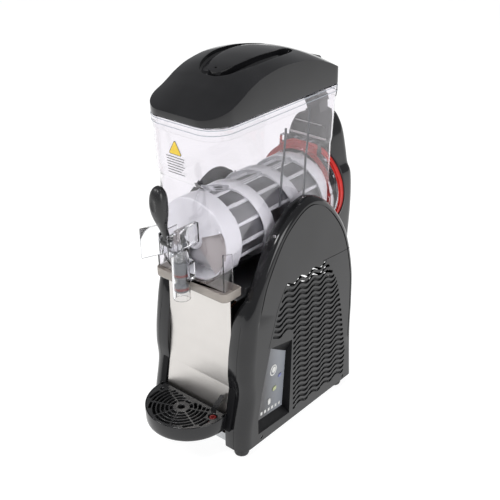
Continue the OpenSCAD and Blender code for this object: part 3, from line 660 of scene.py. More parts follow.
def side_panel(with_recess):
    """The right panel: an outer and an inner skin, joined at their edges and round every cut."""
    s = Shape()
    rows_out, rows_in = ([s.add(r) for r in panel_rings(extra)] for extra in (0, WALL))
    for rows in (rows_out, rows_in):
        for a, b in zip(rows, rows[1:]):
            s.strip(a, b)
    s.strip(rows_out[0], rows_in[0])
    for end in (0, -1):
        s.strip([r[end] for r in rows_out], [r[end] for r in rows_in])
    s.faces.append((rows_out[-1][0], rows_out[-1][-1], rows_in[-1][-1], rows_in[-1][0]))
    front_seam = slit([(85, 240), (90, 252), (102, 285), (114, 318), (130, 346), (143, 364)])
    rear_seam = slit([(262, 366), (285, 364), (320, 361), (356, 359)])
    screws = [arc(y, z, 3.6, 0, 345, 24) for y, z in ((59, 33), (346, 31))]
    cuts = [(o, 0.5) for o in vents()] + [(front_seam, 0.15), (rear_seam, 0.15)] + [(o, 0.5) for o in screws]
    if with_recess:
        cuts.append((RECESS, 0.15))
    holes_out, holes_in = walls(s, cuts, HALF_W, HALF_W - WALL, "x")
    filled(s, HALF_W, "x", rows_out[-1], holes_out)
    filled(s, HALF_W - WALL, "x", rows_in[-1], holes_in)
    return s


def make_panel(name, side, node):
    """A side panel, with the channel that the front sheet stands in."""
    shape = side_panel(side > 0)
    obj = build(name, shape if side > 0 else mirrored(shape), "gloss_black", smooth=32)
    x0, x1 = sorted((side * 82, side * 104.5))
    channel = prism("x", [(-12, 44), (30, 44), (30, 223)] + arc(-2, 213, 10, 90, 180, 5), x0, x1)
    combine(obj, channel, angle=32)
    on_body(obj, "machine", node)


make_panel("side_panel_right", 1, "right_side_panel")
make_panel("side_panel_left", -1, "left_side_panel")

FILTER = [(162, 41.6), (366, 41.6), (370, 262), (338, 300), (268, 326), (150, 354), (60, 350), (66, 247),
          (162, 247)]
filters = prism("x", FILTER, HALF_W - 5.4, HALF_W - 4)
filters.merge(mirrored(filters))
on_body(build("vent_filters", filters, "rubber_black"), "machine", slot="rubber_black")

# The control recess is a funnel down to a tilted plate, whose left edge is flush with the panel
PLATE = [(52, 79), (146, 58), (154, 194.5), (94, 238), (64, 141), (51.5, 84)]
PLATE_SLOPE, SLOPE_Y, SLOPE_Z = 0.1455, 0.9668, -0.2555  # the slope, and its way in Y and Z


def plate_x(y, z):
    """Place of the tilted plate along X, which sinks away from the plate's left edge."""
    return HALF_W - WALL - PLATE_SLOPE * (SLOPE_Y * (y - PLATE[0][0]) + SLOPE_Z * (z - PLATE[0][1]))


def plate_points(outline, lift):
    """An outline in Y and Z, laid on the tilted plate."""
    return [(plate_x(y, z) + lift, y, z) for y, z in outline]


def on_plate(outline, lift, thick):
    """A flat piece whose face stands proud of the tilted plate by lift."""
    return lofted([plate_points(outline, lift - thick), plate_points(outline, lift)])


funnel = Shape()
funnel.hoop([lifted(grown(RECESS, -0.2), HALF_W - 0.3, "x"), plate_points(PLATE, 0), plate_points(PLATE, -2.5),
             lifted(grown(RECESS, 1.6), HALF_W - 3.4, "x"), lifted(grown(RECESS, -0.05), HALF_W - WALL, "x")])
# The recess walls take the darker black copy as painted shade.
on_body(build("control_recess", funnel, "painted_shade_black", smooth=20), "machine", "control_bezel", slot="gloss_black")
on_body(build("control_plate", on_plate(grown(PLATE, 0.6), 0.2, 1.8), "display_glass"), "machine", "display")

marks = Shape()
marks.hoop([plate_points(arc(107, 173, r, 0, 352.5, 48), lift)
            for r, lift in ((12.6, 0.1), (12.3, 1), (10.1, 1), (9.8, 0.1))])
marks.merge(on_plate(arc(108.5, 173.5, 6.8, 0, 350, 36), 0.9, 0.8))
for k in range(6):
    y, z = 64 + 14 * k, 88 - 3.4 * k
    marks.merge(on_plate([(y - 3.4, z - 3), (y + 3.4, z - 3.8), (y + 3.6, z + 3.2), (y - 3.2, z + 4)], 0.45, 0.4))
on_body(build("control_marks", marks, "white_plastic"), "machine", slot="white_plastic")

# A pad's back stays inside the plate when its key is pressed
for key, tint, half_y, half_z in (("left", "white_plastic", 4.6, 6.6), ("middle", "key_lime", 6.6, 4.4),
                                  ("right", "key_blue", 5.6, 3.4)):
    _, y, z = middle_mm("key_" + key)
    pad = on_plate(squircle(y - FOOT_Y, z, half_y, half_z, 4, 28), 2.2, 2.1)
    on_body(rounded(build(key + "_key_pad", pad, tint), 0.5), key + "_key", "key_" + key)


# ---- lid ----

LID_EDGE = curve([(-8, 728), (20, 738), (51, 750), (73, 761), (86, 768), (114, 779), (142, 785), (170, 788.5),
                  (199, 789), (229, 787), (260, 782), (291, 775), (324, 763), (347, 752), (360, 745)], 6)
LID_HALF, LID_FRONT, LID_BACK = 95, -8, 360
LID_CORNER, LID_BACK_CORNER, LID_CROWN = 50, 12, 13
GRIP_DEEP = 16
# Middle line of the grip's groove on the right side: X, Y and half of its width
GRIP_ARM = [(0, 86, 4.5), (14, 88.5, 6), (26, 97, 8.5), (36, 111, 10), (43, 129, 11.5), (48.5, 153, 13),
            (50.8, 182, 13.4), (49.5, 212, 13.2), (44.5, 240, 13), (38, 259, 11.5), (33.5, 269, 8.5), (31, 274, 4),
            (30.4, 275.5, 1)]


def lid_edge(y):
    """Height of the lid's upper side edge."""
    return float(np.interp(y, LID_EDGE[:, 0], LID_EDGE[:, 1]))


def lid_rise(y):
    """Height of the crown in the middle above the side edge."""
    return LID_CROWN * min(1, max(0, (y - LID_FRONT) / 60)) ** 0.8


def lid_width(y, inset):
    """Half of the lid's width, which shrinks over the front and rear corners."""
    r, d = LID_CORNER - inset, max(0, LID_FRONT + LID_CORNER - y)
    b = max(0, y - LID_BACK + LID_BACK_CORNER)
    back = LID_BACK_CORNER - math.sqrt(max(0, LID_BACK_CORNER**2 - b * b))
    return LID_HALF - inset - (r - math.sqrt(max(0, r * r - d * d))) - back


def lid_top(x, y, inset):
    """Height of the domed top."""
    w = max(lid_width(y, inset), 1)
    return lid_edge(y) - inset + lid_rise(y) * (1 - min(1, abs(x) / w) ** 2.2)


def lid_solid(inset, z0):
    """The lid as a solid from z0 up, made smaller by inset. Its sections are closer at the corners."""
    end = LID_BACK - inset
    ys = list(LID_FRONT + inset + (LID_CORNER - inset) * (1 - np.cos(np.linspace(0.02, math.pi / 2, 26))))
    ys += list(np.linspace(45, 345, 61)) + list(end - LID_BACK_CORNER * (1 - np.sin(np.linspace(0.15, 1.45, 8))))
    ys = sorted(set(round(float(v), 3) for v in ys if v <= end - 0.2))
    across = np.sin(np.linspace(-math.pi / 2, math.pi / 2, 33))
    rings = []
    for y in ys:
        w = lid_width(y, inset)
        rings.append([(-w, y, z0)] + [(w * k, y, lid_top(w * k, y, inset)) for k in across] + [(w, y, z0)])
    return lofted(rings)


def grip_groove(grow, deep):
    """A horseshoe groove round the grip ridge, whose floor follows the lid's top."""
    arm = curve(GRIP_ARM, 4)
    path = np.concatenate([arm[::-1] * (-1, 1, 1), arm[1:]])
    rings = []
    for (x, y, half), (nx, ny) in zip(path, inward(path[:, :2])):
        h = half + grow
        floor = lid_edge(y) + LID_CROWN - deep * min(1, 0.45 + (y - 84) / 45)
        across = ((-1, 830), (-1, floor + 3.5), (-0.72, floor), (0.72, floor), (1, floor + 3.5), (1, 830))
        rings.append([(x + nx * h * k, y + ny * h * k, z) for k, z in across])
    return lofted(rings)


lid = build("lid_shell", lid_solid(0, LID_Z), "gloss_black", smooth=28)
hollow = build("hollow", lid_solid(3.5, LID_Z - 6))
combine(hollow, grip_groove(2.4, GRIP_DEEP + 2.4))
for part in (hollow, grip_groove(0, GRIP_DEEP), prism("z", arc(-1.5, 103, 2.6, 0, 340, 18), 780, 800)):
    combine(lid, part, angle=28)
rounded_mesh(lid, 1.3, 3, 30, 28)
on_body(lid, "lid_set", "lid")


# ---- bowl ----

BOWL_R, BOWL_WALL, BOWL_TOP, RIM_HALF = 90, 3, LID_Z - 2, 96
# Height, half width, front, rear, front corner and rear corner of the bowl's box, from the ledge down
BOWL_BODY = [(660, 93, -3.6, 353.5, 47, 12), (604, 92, -2, 350, 46, 12), (600, 91.6, -0.6, 349.7, 45, 12),
             (595, 90.3, 3.4, 349, 44, 12), (592, 90, 4.2, 348.7, 43.6, 12), (AXIS_Z + 40, 90, 7, 342, 30, 8),
             (AXIS_Z, 90, 8, 341, 14, 7)]


def drum_shape(profile):
    """A solid turned about the auger's axis from (radius, Y) points between its two flat ends."""
    steps = 96
    s = Shape()
    rings = []
    for k in range(steps):
        a = 2 * math.pi * k / steps
        rings.append(s.add([(r * math.cos(a), y, AXIS_Z + r * math.sin(a)) for r, y in profile]))
    for k in range(steps):
        s.strip(rings[k], rings[(k + 1) % steps])
    s.faces.append(tuple(r[0] for r in rings))
    s.faces.append(tuple(r[-1] for r in reversed(rings)))
    return s


def bowl_solid(inset, top, name):
    """The bowl's box over its round trough, made smaller by inset."""
    levels = [(top, 94, -5, 357, 48, 12)] + BOWL_BODY
    box = [lifted(plan(h - inset, y0 + inset, y1 - inset, rf - inset, rb - inset), z)
           for z, h, y0, y1, rf, rb in levels[::-1]]
    obj = build(name, lofted(box), "clear_bowl", smooth=25)
    r, nose = BOWL_R - inset, 7 - inset * 0.6
    profile = arc(r - nose, 8 + inset + nose, nose, -90, 0, 7) + [(r, 341 - inset)]
    return combine(obj, drum_shape(profile), "UNION", angle=25)


def rim_plan(half, n=8):
    """The bowl's rim band in plan, at a half width."""
    out = half - RIM_HALF
    return plan(half, -7 - out, 359 + out, 50 + out, 13 + out, n)


bowl = bowl_solid(0, BOWL_TOP, "bowl_clear")
collar = drum_shape([(BOWL_R + 3, 331), (BOWL_R + 8, 334), (BOWL_R + 8, 361.5)])
saddle = block((-50, 332, AXIS_Z + 60), (50, 361.4, AXIS_Z + 109))
rim_levels = ((24, 94.3), (12, RIM_HALF), (0.6, RIM_HALF), (0.02, 95.4))
rim = lofted([lifted(rim_plan(half), BOWL_TOP - down) for down, half in rim_levels])
for part in (collar, saddle, rim):
    combine(bowl, part, "UNION", angle=25)
rear_bore = drum_shape([(BOWL_R - BOWL_WALL, 300), (BOWL_R - BOWL_WALL, 364)])
mouth = block((-9, -3, AXIS_Z - 70), (9, 16, AXIS_Z - 42))
for part in (bowl_solid(BOWL_WALL, BOWL_TOP + 2, "inside"), rear_bore, mouth):
    combine(bowl, part, angle=25)
on_body(bowl, "bowl_set", "bowl")

TRIANGLE = [(-27, 648), (8, 648), (-9.5, 678)]


def round_triangle(d, r):
    """The sticker's triangle, grown by d, with corners rounded by r."""
    middle = np.mean(TRIANGLE, axis=0)
    out = []
    for (x, z), start in zip(TRIANGLE, (150, 270, 30)):
        to_corner = np.array((x, z)) - middle
        centre = np.array((x, z)) - to_corner / np.linalg.norm(to_corner) * (2 * (r - d / 2))
        out += arc(*centre, r, start, start + 120, 7)
    return out


sticker_y = box_mm("bowl_sticker")[0][1] - FOOT_Y
mark = prism("y", round_triangle(-2.4, 2), sticker_y - 0.35, sticker_y + 0.4)
on_body(build("bowl_mark", mark, "sticker"), "bowl_set", "bowl_sticker")
dark_print = prism("y", round_triangle(0, 3), sticker_y - 0.1, sticker_y + 0.35)
for k in range(7):
    z, x_end = 643 - 5.2 * k, 13 - 0.9 * k * (k % 3)
    dark_print.merge(block((-33 + 0.6 * k, sticker_y - 0.1, z - 0.7), (x_end, sticker_y + 0.3, z + 0.7)))
on_body(build("bowl_print", dark_print, "piston_grey"), "bowl_set", slot="piston_grey")

SKIRT_Z = DECK_Z + 26
skirt = prism("x", [(8.5, SKIRT_Z), (34, SKIRT_Z), (34, AXIS_Z - 8), (8.5, AXIS_Z)], BOWL_R - 3, BOWL_R)
skirt.merge(mirrored(skirt))
front_skirt = [(3 - BOWL_R, SKIRT_Z), (BOWL_R - 3, SKIRT_Z), (BOWL_R - 3, AXIS_Z - 22)]
front_skirt += arc(0, AXIS_Z, 88.5, -16, -164, 38) + [(3 - BOWL_R, AXIS_Z - 22)]
skirt.merge(prism("y", front_skirt, 8.6, 11))
on_body(rounded(build("bowl_skirts", skirt, "clear_bowl"), 0.8), "bowl_set", slot="clear_bowl")

ribs = Shape()
for high, low in (((194, 665), (178, 506)), ((267, 686), (253, 495))):
    ribs.merge(tube([(BOWL_R - 4 + 2.6 * smooth_step(z, 592, 606), y, z) for y, z in np.linspace(high, low, 12)], 2.4))
on_body(build("bowl_ribs", ribs, "piston_grey"), "bowl_set", slot="piston_grey")
beads = Shape()
for down, half in ((13, 95.6), (3, RIM_HALF)):
    beads.merge(tube(lifted(rim_plan(half, 12), BOWL_TOP - down), 0.8, 8, closed=True))
on_body(build("bowl_rim_beads", beads, "key_grey", smooth=60), "bowl_set", slot="key_grey")


# ---- auger and drum ----

AUGER_R, DRUM_R, TURNS, AUGER_Y = 85.5, 70, 3.1, (64, 355)
AUGER_PHASE = math.radians(-31.3)
# Half of the ribbon's T section: radius and half width
RIBBON = [(DRUM_R + 1.4, 4.6), (DRUM_R + 3, 3.6), (81, 3.2), (82.6, 5), (83, 14.2), (83.8, 15.5), (84.8, 15.5),
          (AUGER_R, 14.5)]
BAR = [(DRUM_R + 2, -3.6), (DRUM_R + 5, -3.6), (DRUM_R + 6.6, -2.4), (DRUM_R + 6.6, 2.4), (DRUM_R + 5, 3.6),
       (DRUM_R + 2, 3.6)]
FRONT_RING = [(AUGER_R - 4, 24), (AUGER_R - 3.4, 23.2), (AUGER_R - 1, 23.2), (AUGER_R, 24.2), (AUGER_R, 65),
              (AUGER_R - 1, 66), (DRUM_R + 2.2, 66), (DRUM_R + 1.6, 65.4), (DRUM_R + 1.6, 60.6), (DRUM_R + 2.2, 60),
              (AUGER_R - 5, 60), (AUGER_R - 4, 59)]
HUB = [(12.05, 20.6), (18, 20.6), (20, 22.4), (20, 30), (18.6, 31.4), (12.05, 31.4)]


def ribbon():
    """T-shaped ribbon wound round the drum, with its ends tapered in."""
    section = [(r, -h) for r, h in RIBBON] + RIBBON[::-1]
    rings = []
    for t in np.linspace(0, 1, int(TURNS * 72) + 1):
        a = AUGER_PHASE - 2 * math.pi * TURNS * t
        y = AUGER_Y[0] + (AUGER_Y[1] - AUGER_Y[0]) * t
        squeeze = min(1, 0.25 + t * 30, 0.25 + (1 - t) * 30)
        rings.append([(r * math.cos(a), y + h * squeeze, AXIS_Z + r * math.sin(a)) for r, h in section])
    return lofted(rings)


def nose_sector(a0, a1, y0, y1, lean):
    """A flat sector of the auger's nose from hub to rim, whose rim leans back along the way from a0 to a1."""
    angles = np.radians(np.linspace(a0, a1, 2 + int((a1 - a0) / 3)))
    outline = [(17, t) for t in angles[::-1]] + [(AUGER_R - 1.5, t) for t in angles]
    rings = []
    for y, inset in ((y0, 0.8), (y0 + 0.8, 0), (y1 - 0.8, 0), (y1, 0.8)):
        ring = []
        for r, t in outline:
            back = lean * (t - angles[0]) / (angles[-1] - angles[0]) * r / AUGER_R
            ring.append(((r - inset) * math.cos(t), y + back, AXIS_Z + (r - inset) * math.sin(t)))
        rings.append(ring)
    return lofted(rings)


on_body(build("auger_ribbon", ribbon(), "auger_white", smooth=40), "auger_set", "auger")
# The scoop sector takes the darker copy of the auger's white as painted shade.
for name, sector, finish in (("auger_nose", (25, 240, 22.8, 27, 0), "auger_white"),
                             ("auger_scoop", (-48, 25.4, 25, 28, 9), "nose_painted_shade")):
    on_body(build(name, nose_sector(*sector), finish, smooth=40), "auger_set", slot="auger_white")
cage = Shape()
for angle in range(-24, 336, 30):
    c, d = math.cos(math.radians(angle)), -math.sin(math.radians(angle))
    cage.loft([[(x * c - z * d, y, AXIS_Z + x * d + z * c) for x, z in BAR] for y in np.linspace(52, 352, 40)])
cage.merge(turned(FRONT_RING, (0, 0, AXIS_Z), "y", 96))
cage.merge(turned(HUB, (0, 0, AXIS_Z), "y", 48))
on_body(build("auger_cage", cage, "auger_white", smooth=40), "auger_set", slot="auger_white")


# ---- tower, neck and front ----

TOWER_FOOT = DECK_Z - 24
TOWER_LINE = curve([[72, TOWER_FOOT], [76, 400], [77, 450], [74, 492], [65, 512], [60, 538], [52, 576], [43, 600],
                    [27, 621], [0, 630]], 8)


def tower_solid(levels):
    """A solid through (Y, inset) sections of the tower. From 3 mm in, they also reach below its foot."""
    rings = []
    for y, inset in levels:
        p = TOWER_LINE - inset * inward(TOWER_LINE)
        p[-1, 0], p[0, 1] = 0, TOWER_FOOT - (inset if inset >= 3 else 0)
        rings.append([(x, y, z) for x, z in p] + [(-x, y, z) for x, z in p[-2::-1]])
    return lofted(rings)


tower_levels = ((381, 1.2), (382.2, 0), (430, 0), (437, 0.8), (442, 3), (445.4, 6), (447, 10.5))
tower = build("tower_cover", tower_solid(tower_levels), "gloss_black", smooth=30)
combine(tower, tower_solid(((378, 3), (432, 3), (443.5, 8))), angle=30)
for z in range(380, 440, 12):
    combine(tower, block((-34, 438, z), (34, 452, z + 5)), angle=30)
on_body(tower, "machine", "tower_cover")
# White strips painted in as highlight lines across the bell: the lower one along the top of the tank's rear flange, the
# upper one on the bell.
highlight_strips = block((-47, 379.2, 574.8), (47, 382.4, 578.6))
highlight_strips.merge(block((-34, 379.8, 605), (34, 382.4, 606.4)))
on_body(rounded(build("tower_highlight_strips", highlight_strips, "white_plastic"), 0.4), "machine", slot="white_plastic")

neck_back = curve([[424, 624], [421, 655], [412, 700], [399, 742], [391, 750]], 6)
neck_front = curve([[374, 750], [371.6, 744], [379, 705], [389, 660], [396, 624]], 6)
neck = build("neck", prism("x", [*neck_back, *neck_front], -19, 19), "gloss_black", smooth=30)
rounded_mesh(neck, 3.2, 4, 40, 30)
on_body(neck, "machine", "neck")

# The crease where the front sheet turns back to its foot stays sharp
upper_front = curve([[30, DECK_Z - 3], [29, 300], [26, 240], [22, 200], [18.4, 161]], 8)
lower_front = curve([[18.4, 161], [7.6, 104], [5, 64], [13.5, 47]], 8)
front_line = np.concatenate([upper_front, lower_front[1:]])
sheet_section = [*front_line, *(front_line[::-1] + (1.2, 0))]
sheet = lofted([lifted(sheet_section, x, "x") for x in np.linspace(-84.4, 84.4, 25)])
on_body(build("front_sheet", sheet, "stainless", smooth=3.2), "machine", "front_panel")


# ---- drip shelf ----


def dish(outline_at, levels, z0):
    """A shell from rings of (inset, height over z0), from under its floor, over the rim and down inside."""
    return lofted([lifted(outline_at(inset), z0 + z) for inset, z in levels])


def shelf_plan(d):
    """The clear shelf's outline, moved in by d."""
    return plan(96 - d, 2 + d, 52 - d, 14 - min(d, 10), 5 - min(d, 3))


shelf = dish(shelf_plan, [(5, 5), (1.2, 5.3), (0.2, 6.4), (0, 8), (0, 22.6), (0.5, 23.8), (1.3, 24), (2.1, 23.8),
                          (2.5, 22.6), (2.5, 9.5), (3.5, 8.2), (6, 8)], DECK_Z)
shelf_obj = build("drip_shelf", shelf, "smoke_clear", smooth=40)
combine(shelf_obj, drum_shape([(BOWL_R + 0.3, 7), (BOWL_R + 0.3, 60)]), angle=40)
on_body(shelf_obj, "bowl_set", "drip_shelf")


# ---- drip tray and grate ----

TRAY_R = 93
TRAY_MID = TRAY_R - 106  # Y of the middle of the tray's round front
TRAY_DEEP = 36
TRAY_FLOOR = TRAY_TOP - TRAY_DEEP
LUG_X = (87, 103)


def tray_plan(d):
    """The tray's outline, moved in by d: straight at the rear and round at the front."""
    rear = [(TRAY_R - d - 3, 2 - d), (TRAY_R - d, -1 - d)]
    return rear + arc(0, TRAY_MID, TRAY_R - d, 0, -180, 73) + [(-x, y) for x, y in reversed(rear)]


def lug_section(y, inset):
    """Outline of a tray lug, which leans back with its height."""
    (x0, x1), r = LUG_X, 5
    lean = [(TRAY_FLOOR + 1, -6), (80, -5), (104, 4), (150, 13.5), (163, 17)]
    right = [(x1 - inset, z) for z in (80, 104, 128)] + arc(x1 - r, 158, r - inset, 0, 90, 5)
    left = arc(x0 + r, 158, r - inset, 90, 180, 5) + [(x0 + inset, z) for z in (128, 104, 80)]
    outline = [(x0 + inset, TRAY_FLOOR + 1), (x1 - inset, TRAY_FLOOR + 1)] + right + left
    return [(x, y + lookup(z, lean) - inset * 0.4, z) for x, z in outline]


tray = dish(lambda d: tray_plan(d)[::-1],
            [(12, 0), (6, 0.3), (3, 1.4), (1.3, 3.4), (0.4, 6.4), (0, 12), (0, TRAY_DEEP - 1.6), (0.4, TRAY_DEEP - 0.4),
             (1, TRAY_DEEP), (1.5, TRAY_DEEP - 0.3), (1.6, TRAY_DEEP - 1), (1.6, TRAY_DEEP - 5), (3, TRAY_DEEP - 5.05),
             (3.1, TRAY_DEEP - 6), (3.4, 6), (5, 3.6), (9, 3)], TRAY_FLOOR)
on_body(build("drip_tray", tray, "gloss_black", smooth=40), "tray_set", "drip_tray")
lug = lofted([lug_section(y, inset) for y, inset in ((8, 0.8), (7.2, 0), (0.8, 0), (0, 0.8))])
hook = block((LUG_X[0] + 2, 16, 137), (LUG_X[1] - 2, 24, 149))
lugs = Shape()
for part in (lug, hook, mirrored(lug), mirrored(hook)):
    lugs.merge(part)
# The lugs take the darker black copy as painted shade.
on_body(rounded(build("tray_lugs", lugs, "painted_shade_black"), 0.8, 2, 50), "tray_set", slot="satin_black")

GRATE_MID, FLOAT_AT, PEG_AT = (0, -38), (72, -20), (-76, -19)
SLOT_HALF = 3.1


def grate_point(angle, r):
    """X and Y at an angle and radius about the middle of the slots."""
    return GRATE_MID[0] + r * math.cos(angle), GRATE_MID[1] + r * math.sin(angle)


def grate_slots():
    """Concentric curved slots between radial ribs, kept clear of the rim, the float and the rear."""
    edge = tray_plan(5)
    out = []
    for r in range(12, 100, 9):
        for k in range(8):
            rib = 3.2 / r
            start, end = math.radians(45 * k + 22.5) + rib, math.radians(45 * k + 67.5) - rib
            run = []
            for v in np.linspace(start, end, max(6, int(r / 3))):
                p = np.array([grate_point(v, r - SLOT_HALF), grate_point(v, r + SLOT_HALF)])
                clear_of = [min(np.hypot(*(p - at).T)) > gap for at, gap in ((FLOAT_AT, 13), (PEG_AT, 9))]
                if inside(p, edge).all() and (p[:, 1] < -6).all() and all(clear_of):
                    run.append(v)
            if len(run) < 4 or run[-1] - run[0] < 6 / r:
                continue
            tip = 1.6 / r
            out.append([grate_point(v, r - SLOT_HALF) for v in run]
                       + [grate_point(run[-1] + tip, r - 1.7), grate_point(run[-1] + tip, r + 1.7)]
                       + [grate_point(v, r + SLOT_HALF) for v in run[::-1]]
                       + [grate_point(run[0] - tip, r + 1.7), grate_point(run[0] - tip, r - 1.7)])
    return out


holes = grate_slots() + [arc(*FLOAT_AT, 9.5, 0, 350, 36), arc(*PEG_AT, 4, 0, 345, 24), arc(*GRATE_MID, 7.6, 0, 345, 24)]
right_corner = [(86, 0), (86, -8.6), (TRAY_R - 2.4, -9.4)]
grate_edge = right_corner + arc(0, TRAY_MID, TRAY_R - 2, 0, -180, 73) + [(-x, y) for x, y in right_corner[::-1]]
grate = pierced(grate_edge, holes, TRAY_TOP - 5, TRAY_TOP - 0.9, 0.7)
on_body(build("drip_grate", grate, "grate_black", smooth=30), "grate_set", "drip_grate")
fin = lofted([lifted(squircle(x, y, half, 1.5, 5, 28), z) for x, y, half, z in
              ((62, -8, 7, TRAY_TOP - 3), (63, -7.4, 6.6, TRAY_TOP + 4), (69, -1.6, 5.6, 122), (75, 4.4, 5, 138),
               (76.4, 6, 3.8, 142.6), (76.8, 6.5, 1.6, 144))])
on_body(build("grate_fin", fin, "lever_black", smooth=50), "grate_set", slot="satin_black")
stem_top = TRAY_DEEP - 2.2
stem = [(2.5, 4), (7, 4), (7, stem_top - 1.2), (6.2, stem_top), (4.6, stem_top), (3.8, stem_top - 1.2),
        (3.8, stem_top - 3.8), (2.5, stem_top - 3.8)]
float_disc = [(2.5, 3.4), (11, 3.4), (12, 4.6), (12, 16), (11, 17), (7.05, 17), (7.05, 5), (2.5, 5)]
cap = turned(stem, (*FLOAT_AT, TRAY_FLOOR))
cap.merge(turned(float_disc, (*FLOAT_AT, TRAY_FLOOR)))
on_body(build("float_cap", cap, "float_red"), "float_set", "tray_float")


# ---- tap ----


LEVER_SPINE = curve([[PIVOT_Y, PIVOT_Z], [PIVOT_Y - 2, 505], [-57, 528], [-61, 550], [-62.5, 571], [-62, 590],
                     [-61, 608]], 8)
# Height and half sizes across and along the machine
LEVER_SIZE = curve([(488, 8, 5.5), (500, 8, 6), (515, 8.2, 6.4), (528, 10, 8), (540, 13.6, 11), (552, 16.4, 13.2),
                    (565, 17.8, 14.6), (576, 17.9, 14.8), (586, 17, 14), (595, 14.8, 12.2), (601, 11.6, 9.8),
                    (605, 8, 7), (607.4, 4, 3.6), (608, 0.6, 0.6)], 4)
TAP_ROOF = 463
PISTON_BORE = 14.05
COIL_R, COIL_TURNS, COIL_START, COIL_LONG = 10.5, 6.5, 437.2, 24.8


def lever_section(z, across, along):
    """A section of the lever at a height on its spine."""
    y = float(np.interp(z, LEVER_SPINE[:, 1], LEVER_SPINE[:, 0]))
    return lifted(squircle(0, y, across, along), z)


def ball(centre, radii):
    """An ellipsoid from its middle and its three radii."""
    n = 24
    (x, y, z), (a, b, c) = centre, radii
    return lofted([[(x + a * math.sin(t) * math.cos(u), y + b * math.sin(t) * math.sin(u), z + c * math.cos(t))
                    for u in np.linspace(0, 2 * math.pi, n * 2, endpoint=False)]
                   for t in np.linspace(0.03, math.pi - 0.03, n)])


def pivot_rod(r, x0, x1, steps=32):
    """A rod along X on the lever's pivot."""
    return prism("x", arc(PIVOT_Y, PIVOT_Z, r, 0, 360 - 360 / steps, steps), x0, x1)


def piston_rod(r, z0, z1, steps=64):
    """An upright rod on the tap's axis."""
    return prism("z", arc(0, PISTON_Y, r, 0, 360 - 360 / steps, steps), z0, z1)


lever = build("tap_lever", lofted([lever_section(*size) for size in LEVER_SIZE]), "lever_black", smooth=50)
combine(lever, ball((0, -83, 573), (11.5, 8.2, 24)))
tine = block((4.8, PIVOT_Y + 2, PIVOT_Z - 6), (8.5, PISTON_Y + 1, PIVOT_Z - 1))
for part in (pivot_rod(9, -8.5, 8.5, 48), tine, mirrored(tine)):
    combine(lever, part, "UNION")
combine(lever, pivot_rod(4.05, -12, 12))
rounded_mesh(lever, 0.7, 2, 40, 35)
on_body(lever, "lever", "tap_lever")

tap = build("tap_body", piston_rod(17.5, 355, TAP_ROOF + 6), "clear_tap")
root = block((-14, PISTON_Y, AXIS_Z - 76), (14, 7.9, AXIS_Z - 36))
cheek = block((9.5, PIVOT_Y - 9, 462), (12.5, PISTON_Y + 8, 508))
arm = block((12, PIVOT_Y + 12, 478), (24, PIVOT_Y + 15, 508))
wing = prism("z", [(-23, -38), (-23, -34), (-28, -35), (-43, -76.6), (-40, -78)], 453, 515)
guard = block((20, PIVOT_Y - 2, 478), (30, 7.9, 519))
for part in (root, cheek, arm, mirrored(cheek), mirrored(arm), wing, guard):
    combine(tap, part, "UNION")
rounded_mesh(tap, 1.0, 2, 40, 35)
mouth = block((-8.5, PISTON_Y, AXIS_Z - 70), (8.5, 12, AXIS_Z - 42))
pin_hole = pivot_rod(4.02, 9, 14)
for part in (piston_rod(PISTON_BORE, 350, TAP_ROOF), piston_rod(6.6, TAP_ROOF - 1, TAP_ROOF + 12, 32), mouth, pin_hole,
             mirrored(pin_hole)):
    combine(tap, part)
on_body(tap, "bowl_set", "tap_body")

coil = [(COIL_R * math.cos(a), PISTON_Y + COIL_R * math.sin(a), COIL_START + COIL_LONG * a / (2 * math.pi * COIL_TURNS))
        for a in np.linspace(0, 2 * math.pi * COIL_TURNS, 240)]
spring = on_body(build("tap_spring", tube(coil, 0.8, 8), "spring_steel"), "bowl_set", "tap_spring")
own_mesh(spring)


# ---- carried-over CAD nodes ----

EDGE_WIDTH = {"feet": 1.5, "bowl_gasket": 2.0, "deck": 1.2, "compressor": 4, "gearmotor": 2, "drum": 1,
              "base_plate": 0.4}

for name, node in frame["nodes"].items():
    node.data.materials.clear()
    node.data.materials.append(MATERIALS["float_red" if name == "piston_rings" else FINISH[name]])
    if not node.hide_render:
        soften(node, 32)
        if name != "condenser":
            rounded(node, EDGE_WIDTH.get(name, 0.5), 2, 35)


# ---- floor and light ----

FLOOR_HALF = 14  # metres
FLOOR_GLOW, AMBIENT = 0.88, 0.3

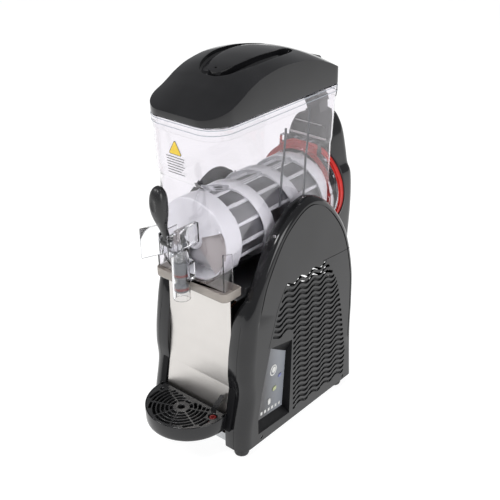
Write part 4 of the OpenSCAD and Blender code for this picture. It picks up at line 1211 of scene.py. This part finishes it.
floor = bpy.data.meshes.new("floor")
corners = [(x * FLOOR_HALF, y * FLOOR_HALF, 0) for x, y in ((-1, -1), (1, -1), (1, 1), (-1, 1))]
floor.from_pydata(corners, [], [(0, 1, 2, 3)])
floor_obj = bpy.data.objects.new("floor", floor)
bpy.context.scene.collection.objects.link(floor_obj)
floor.materials.append(material("floor", (0.3, 0.3, 0.3), 0.8, vary=0.005, patch=400, rough_vary=0.02, specular=0.1))
floor_shader = floor.materials[0].node_tree.nodes["Principled BSDF"]
floor_shader.inputs["Emission Color"].default_value = (1, 1, 1, 1)
floor_shader.inputs["Emission Strength"].default_value = FLOOR_GLOW

# The camera sees a white surround, and the object is lit by a weaker one
world = bpy.data.worlds.new("studio")
bpy.context.scene.world = world
world.use_nodes = True
sky = world.node_tree
seen, around = sky.nodes["Background"], sky.nodes.new("ShaderNodeBackground")
for background, colour, strength in ((seen, (1, 1, 1, 1), 1.0), (around, (0.97, 0.98, 1.0, 1), AMBIENT)):
    background.inputs["Color"].default_value = colour
    background.inputs["Strength"].default_value = strength
blend = sky.nodes.new("ShaderNodeMixShader")
link(sky, sky.nodes.new("ShaderNodeLightPath").outputs["Is Camera Ray"], blend.inputs["Fac"])
link(sky, around.outputs["Background"], blend.inputs[1])
link(sky, seen.outputs["Background"], blend.inputs[2])
link(sky, blend.outputs["Shader"], sky.nodes["World Output"].inputs["Surface"])


def softbox(name, at, target, width, height, power):
    """A large soft lamp. Places are in metres of the row frame."""
    lamp = bpy.data.lights.new(name, "AREA")
    lamp.shape, lamp.size, lamp.size_y, lamp.energy = "RECTANGLE", width, height, power
    obj = bpy.data.objects.new(name, lamp)
    bpy.context.scene.collection.objects.link(obj)
    obj.location = at
    obj.rotation_mode = "QUATERNION"
    obj.rotation_quaternion = (Vector(at) - Vector(target)).to_track_quat("Z", "Y")
    return obj


softbox("key", (0.07, -1.95, 2.65), (0, 0, 0.4), 0.8, 0.6, 20)
softbox("key_left", (-1.95, -2.1, 2.45), (0, 0, 0.5), 0.9, 0.7, 22)
softbox("side", (3.0, -0.6, 1.6), (0, 0, 0.4), 1.6, 1.6, 34)
top = softbox("top", (0.0, 0.2, 3.2), (0, 0, 0.4), 2.4, 2.4, 60)
top.visible_glossy = False
bpy.context.scene.view_settings.view_transform = "Standard"
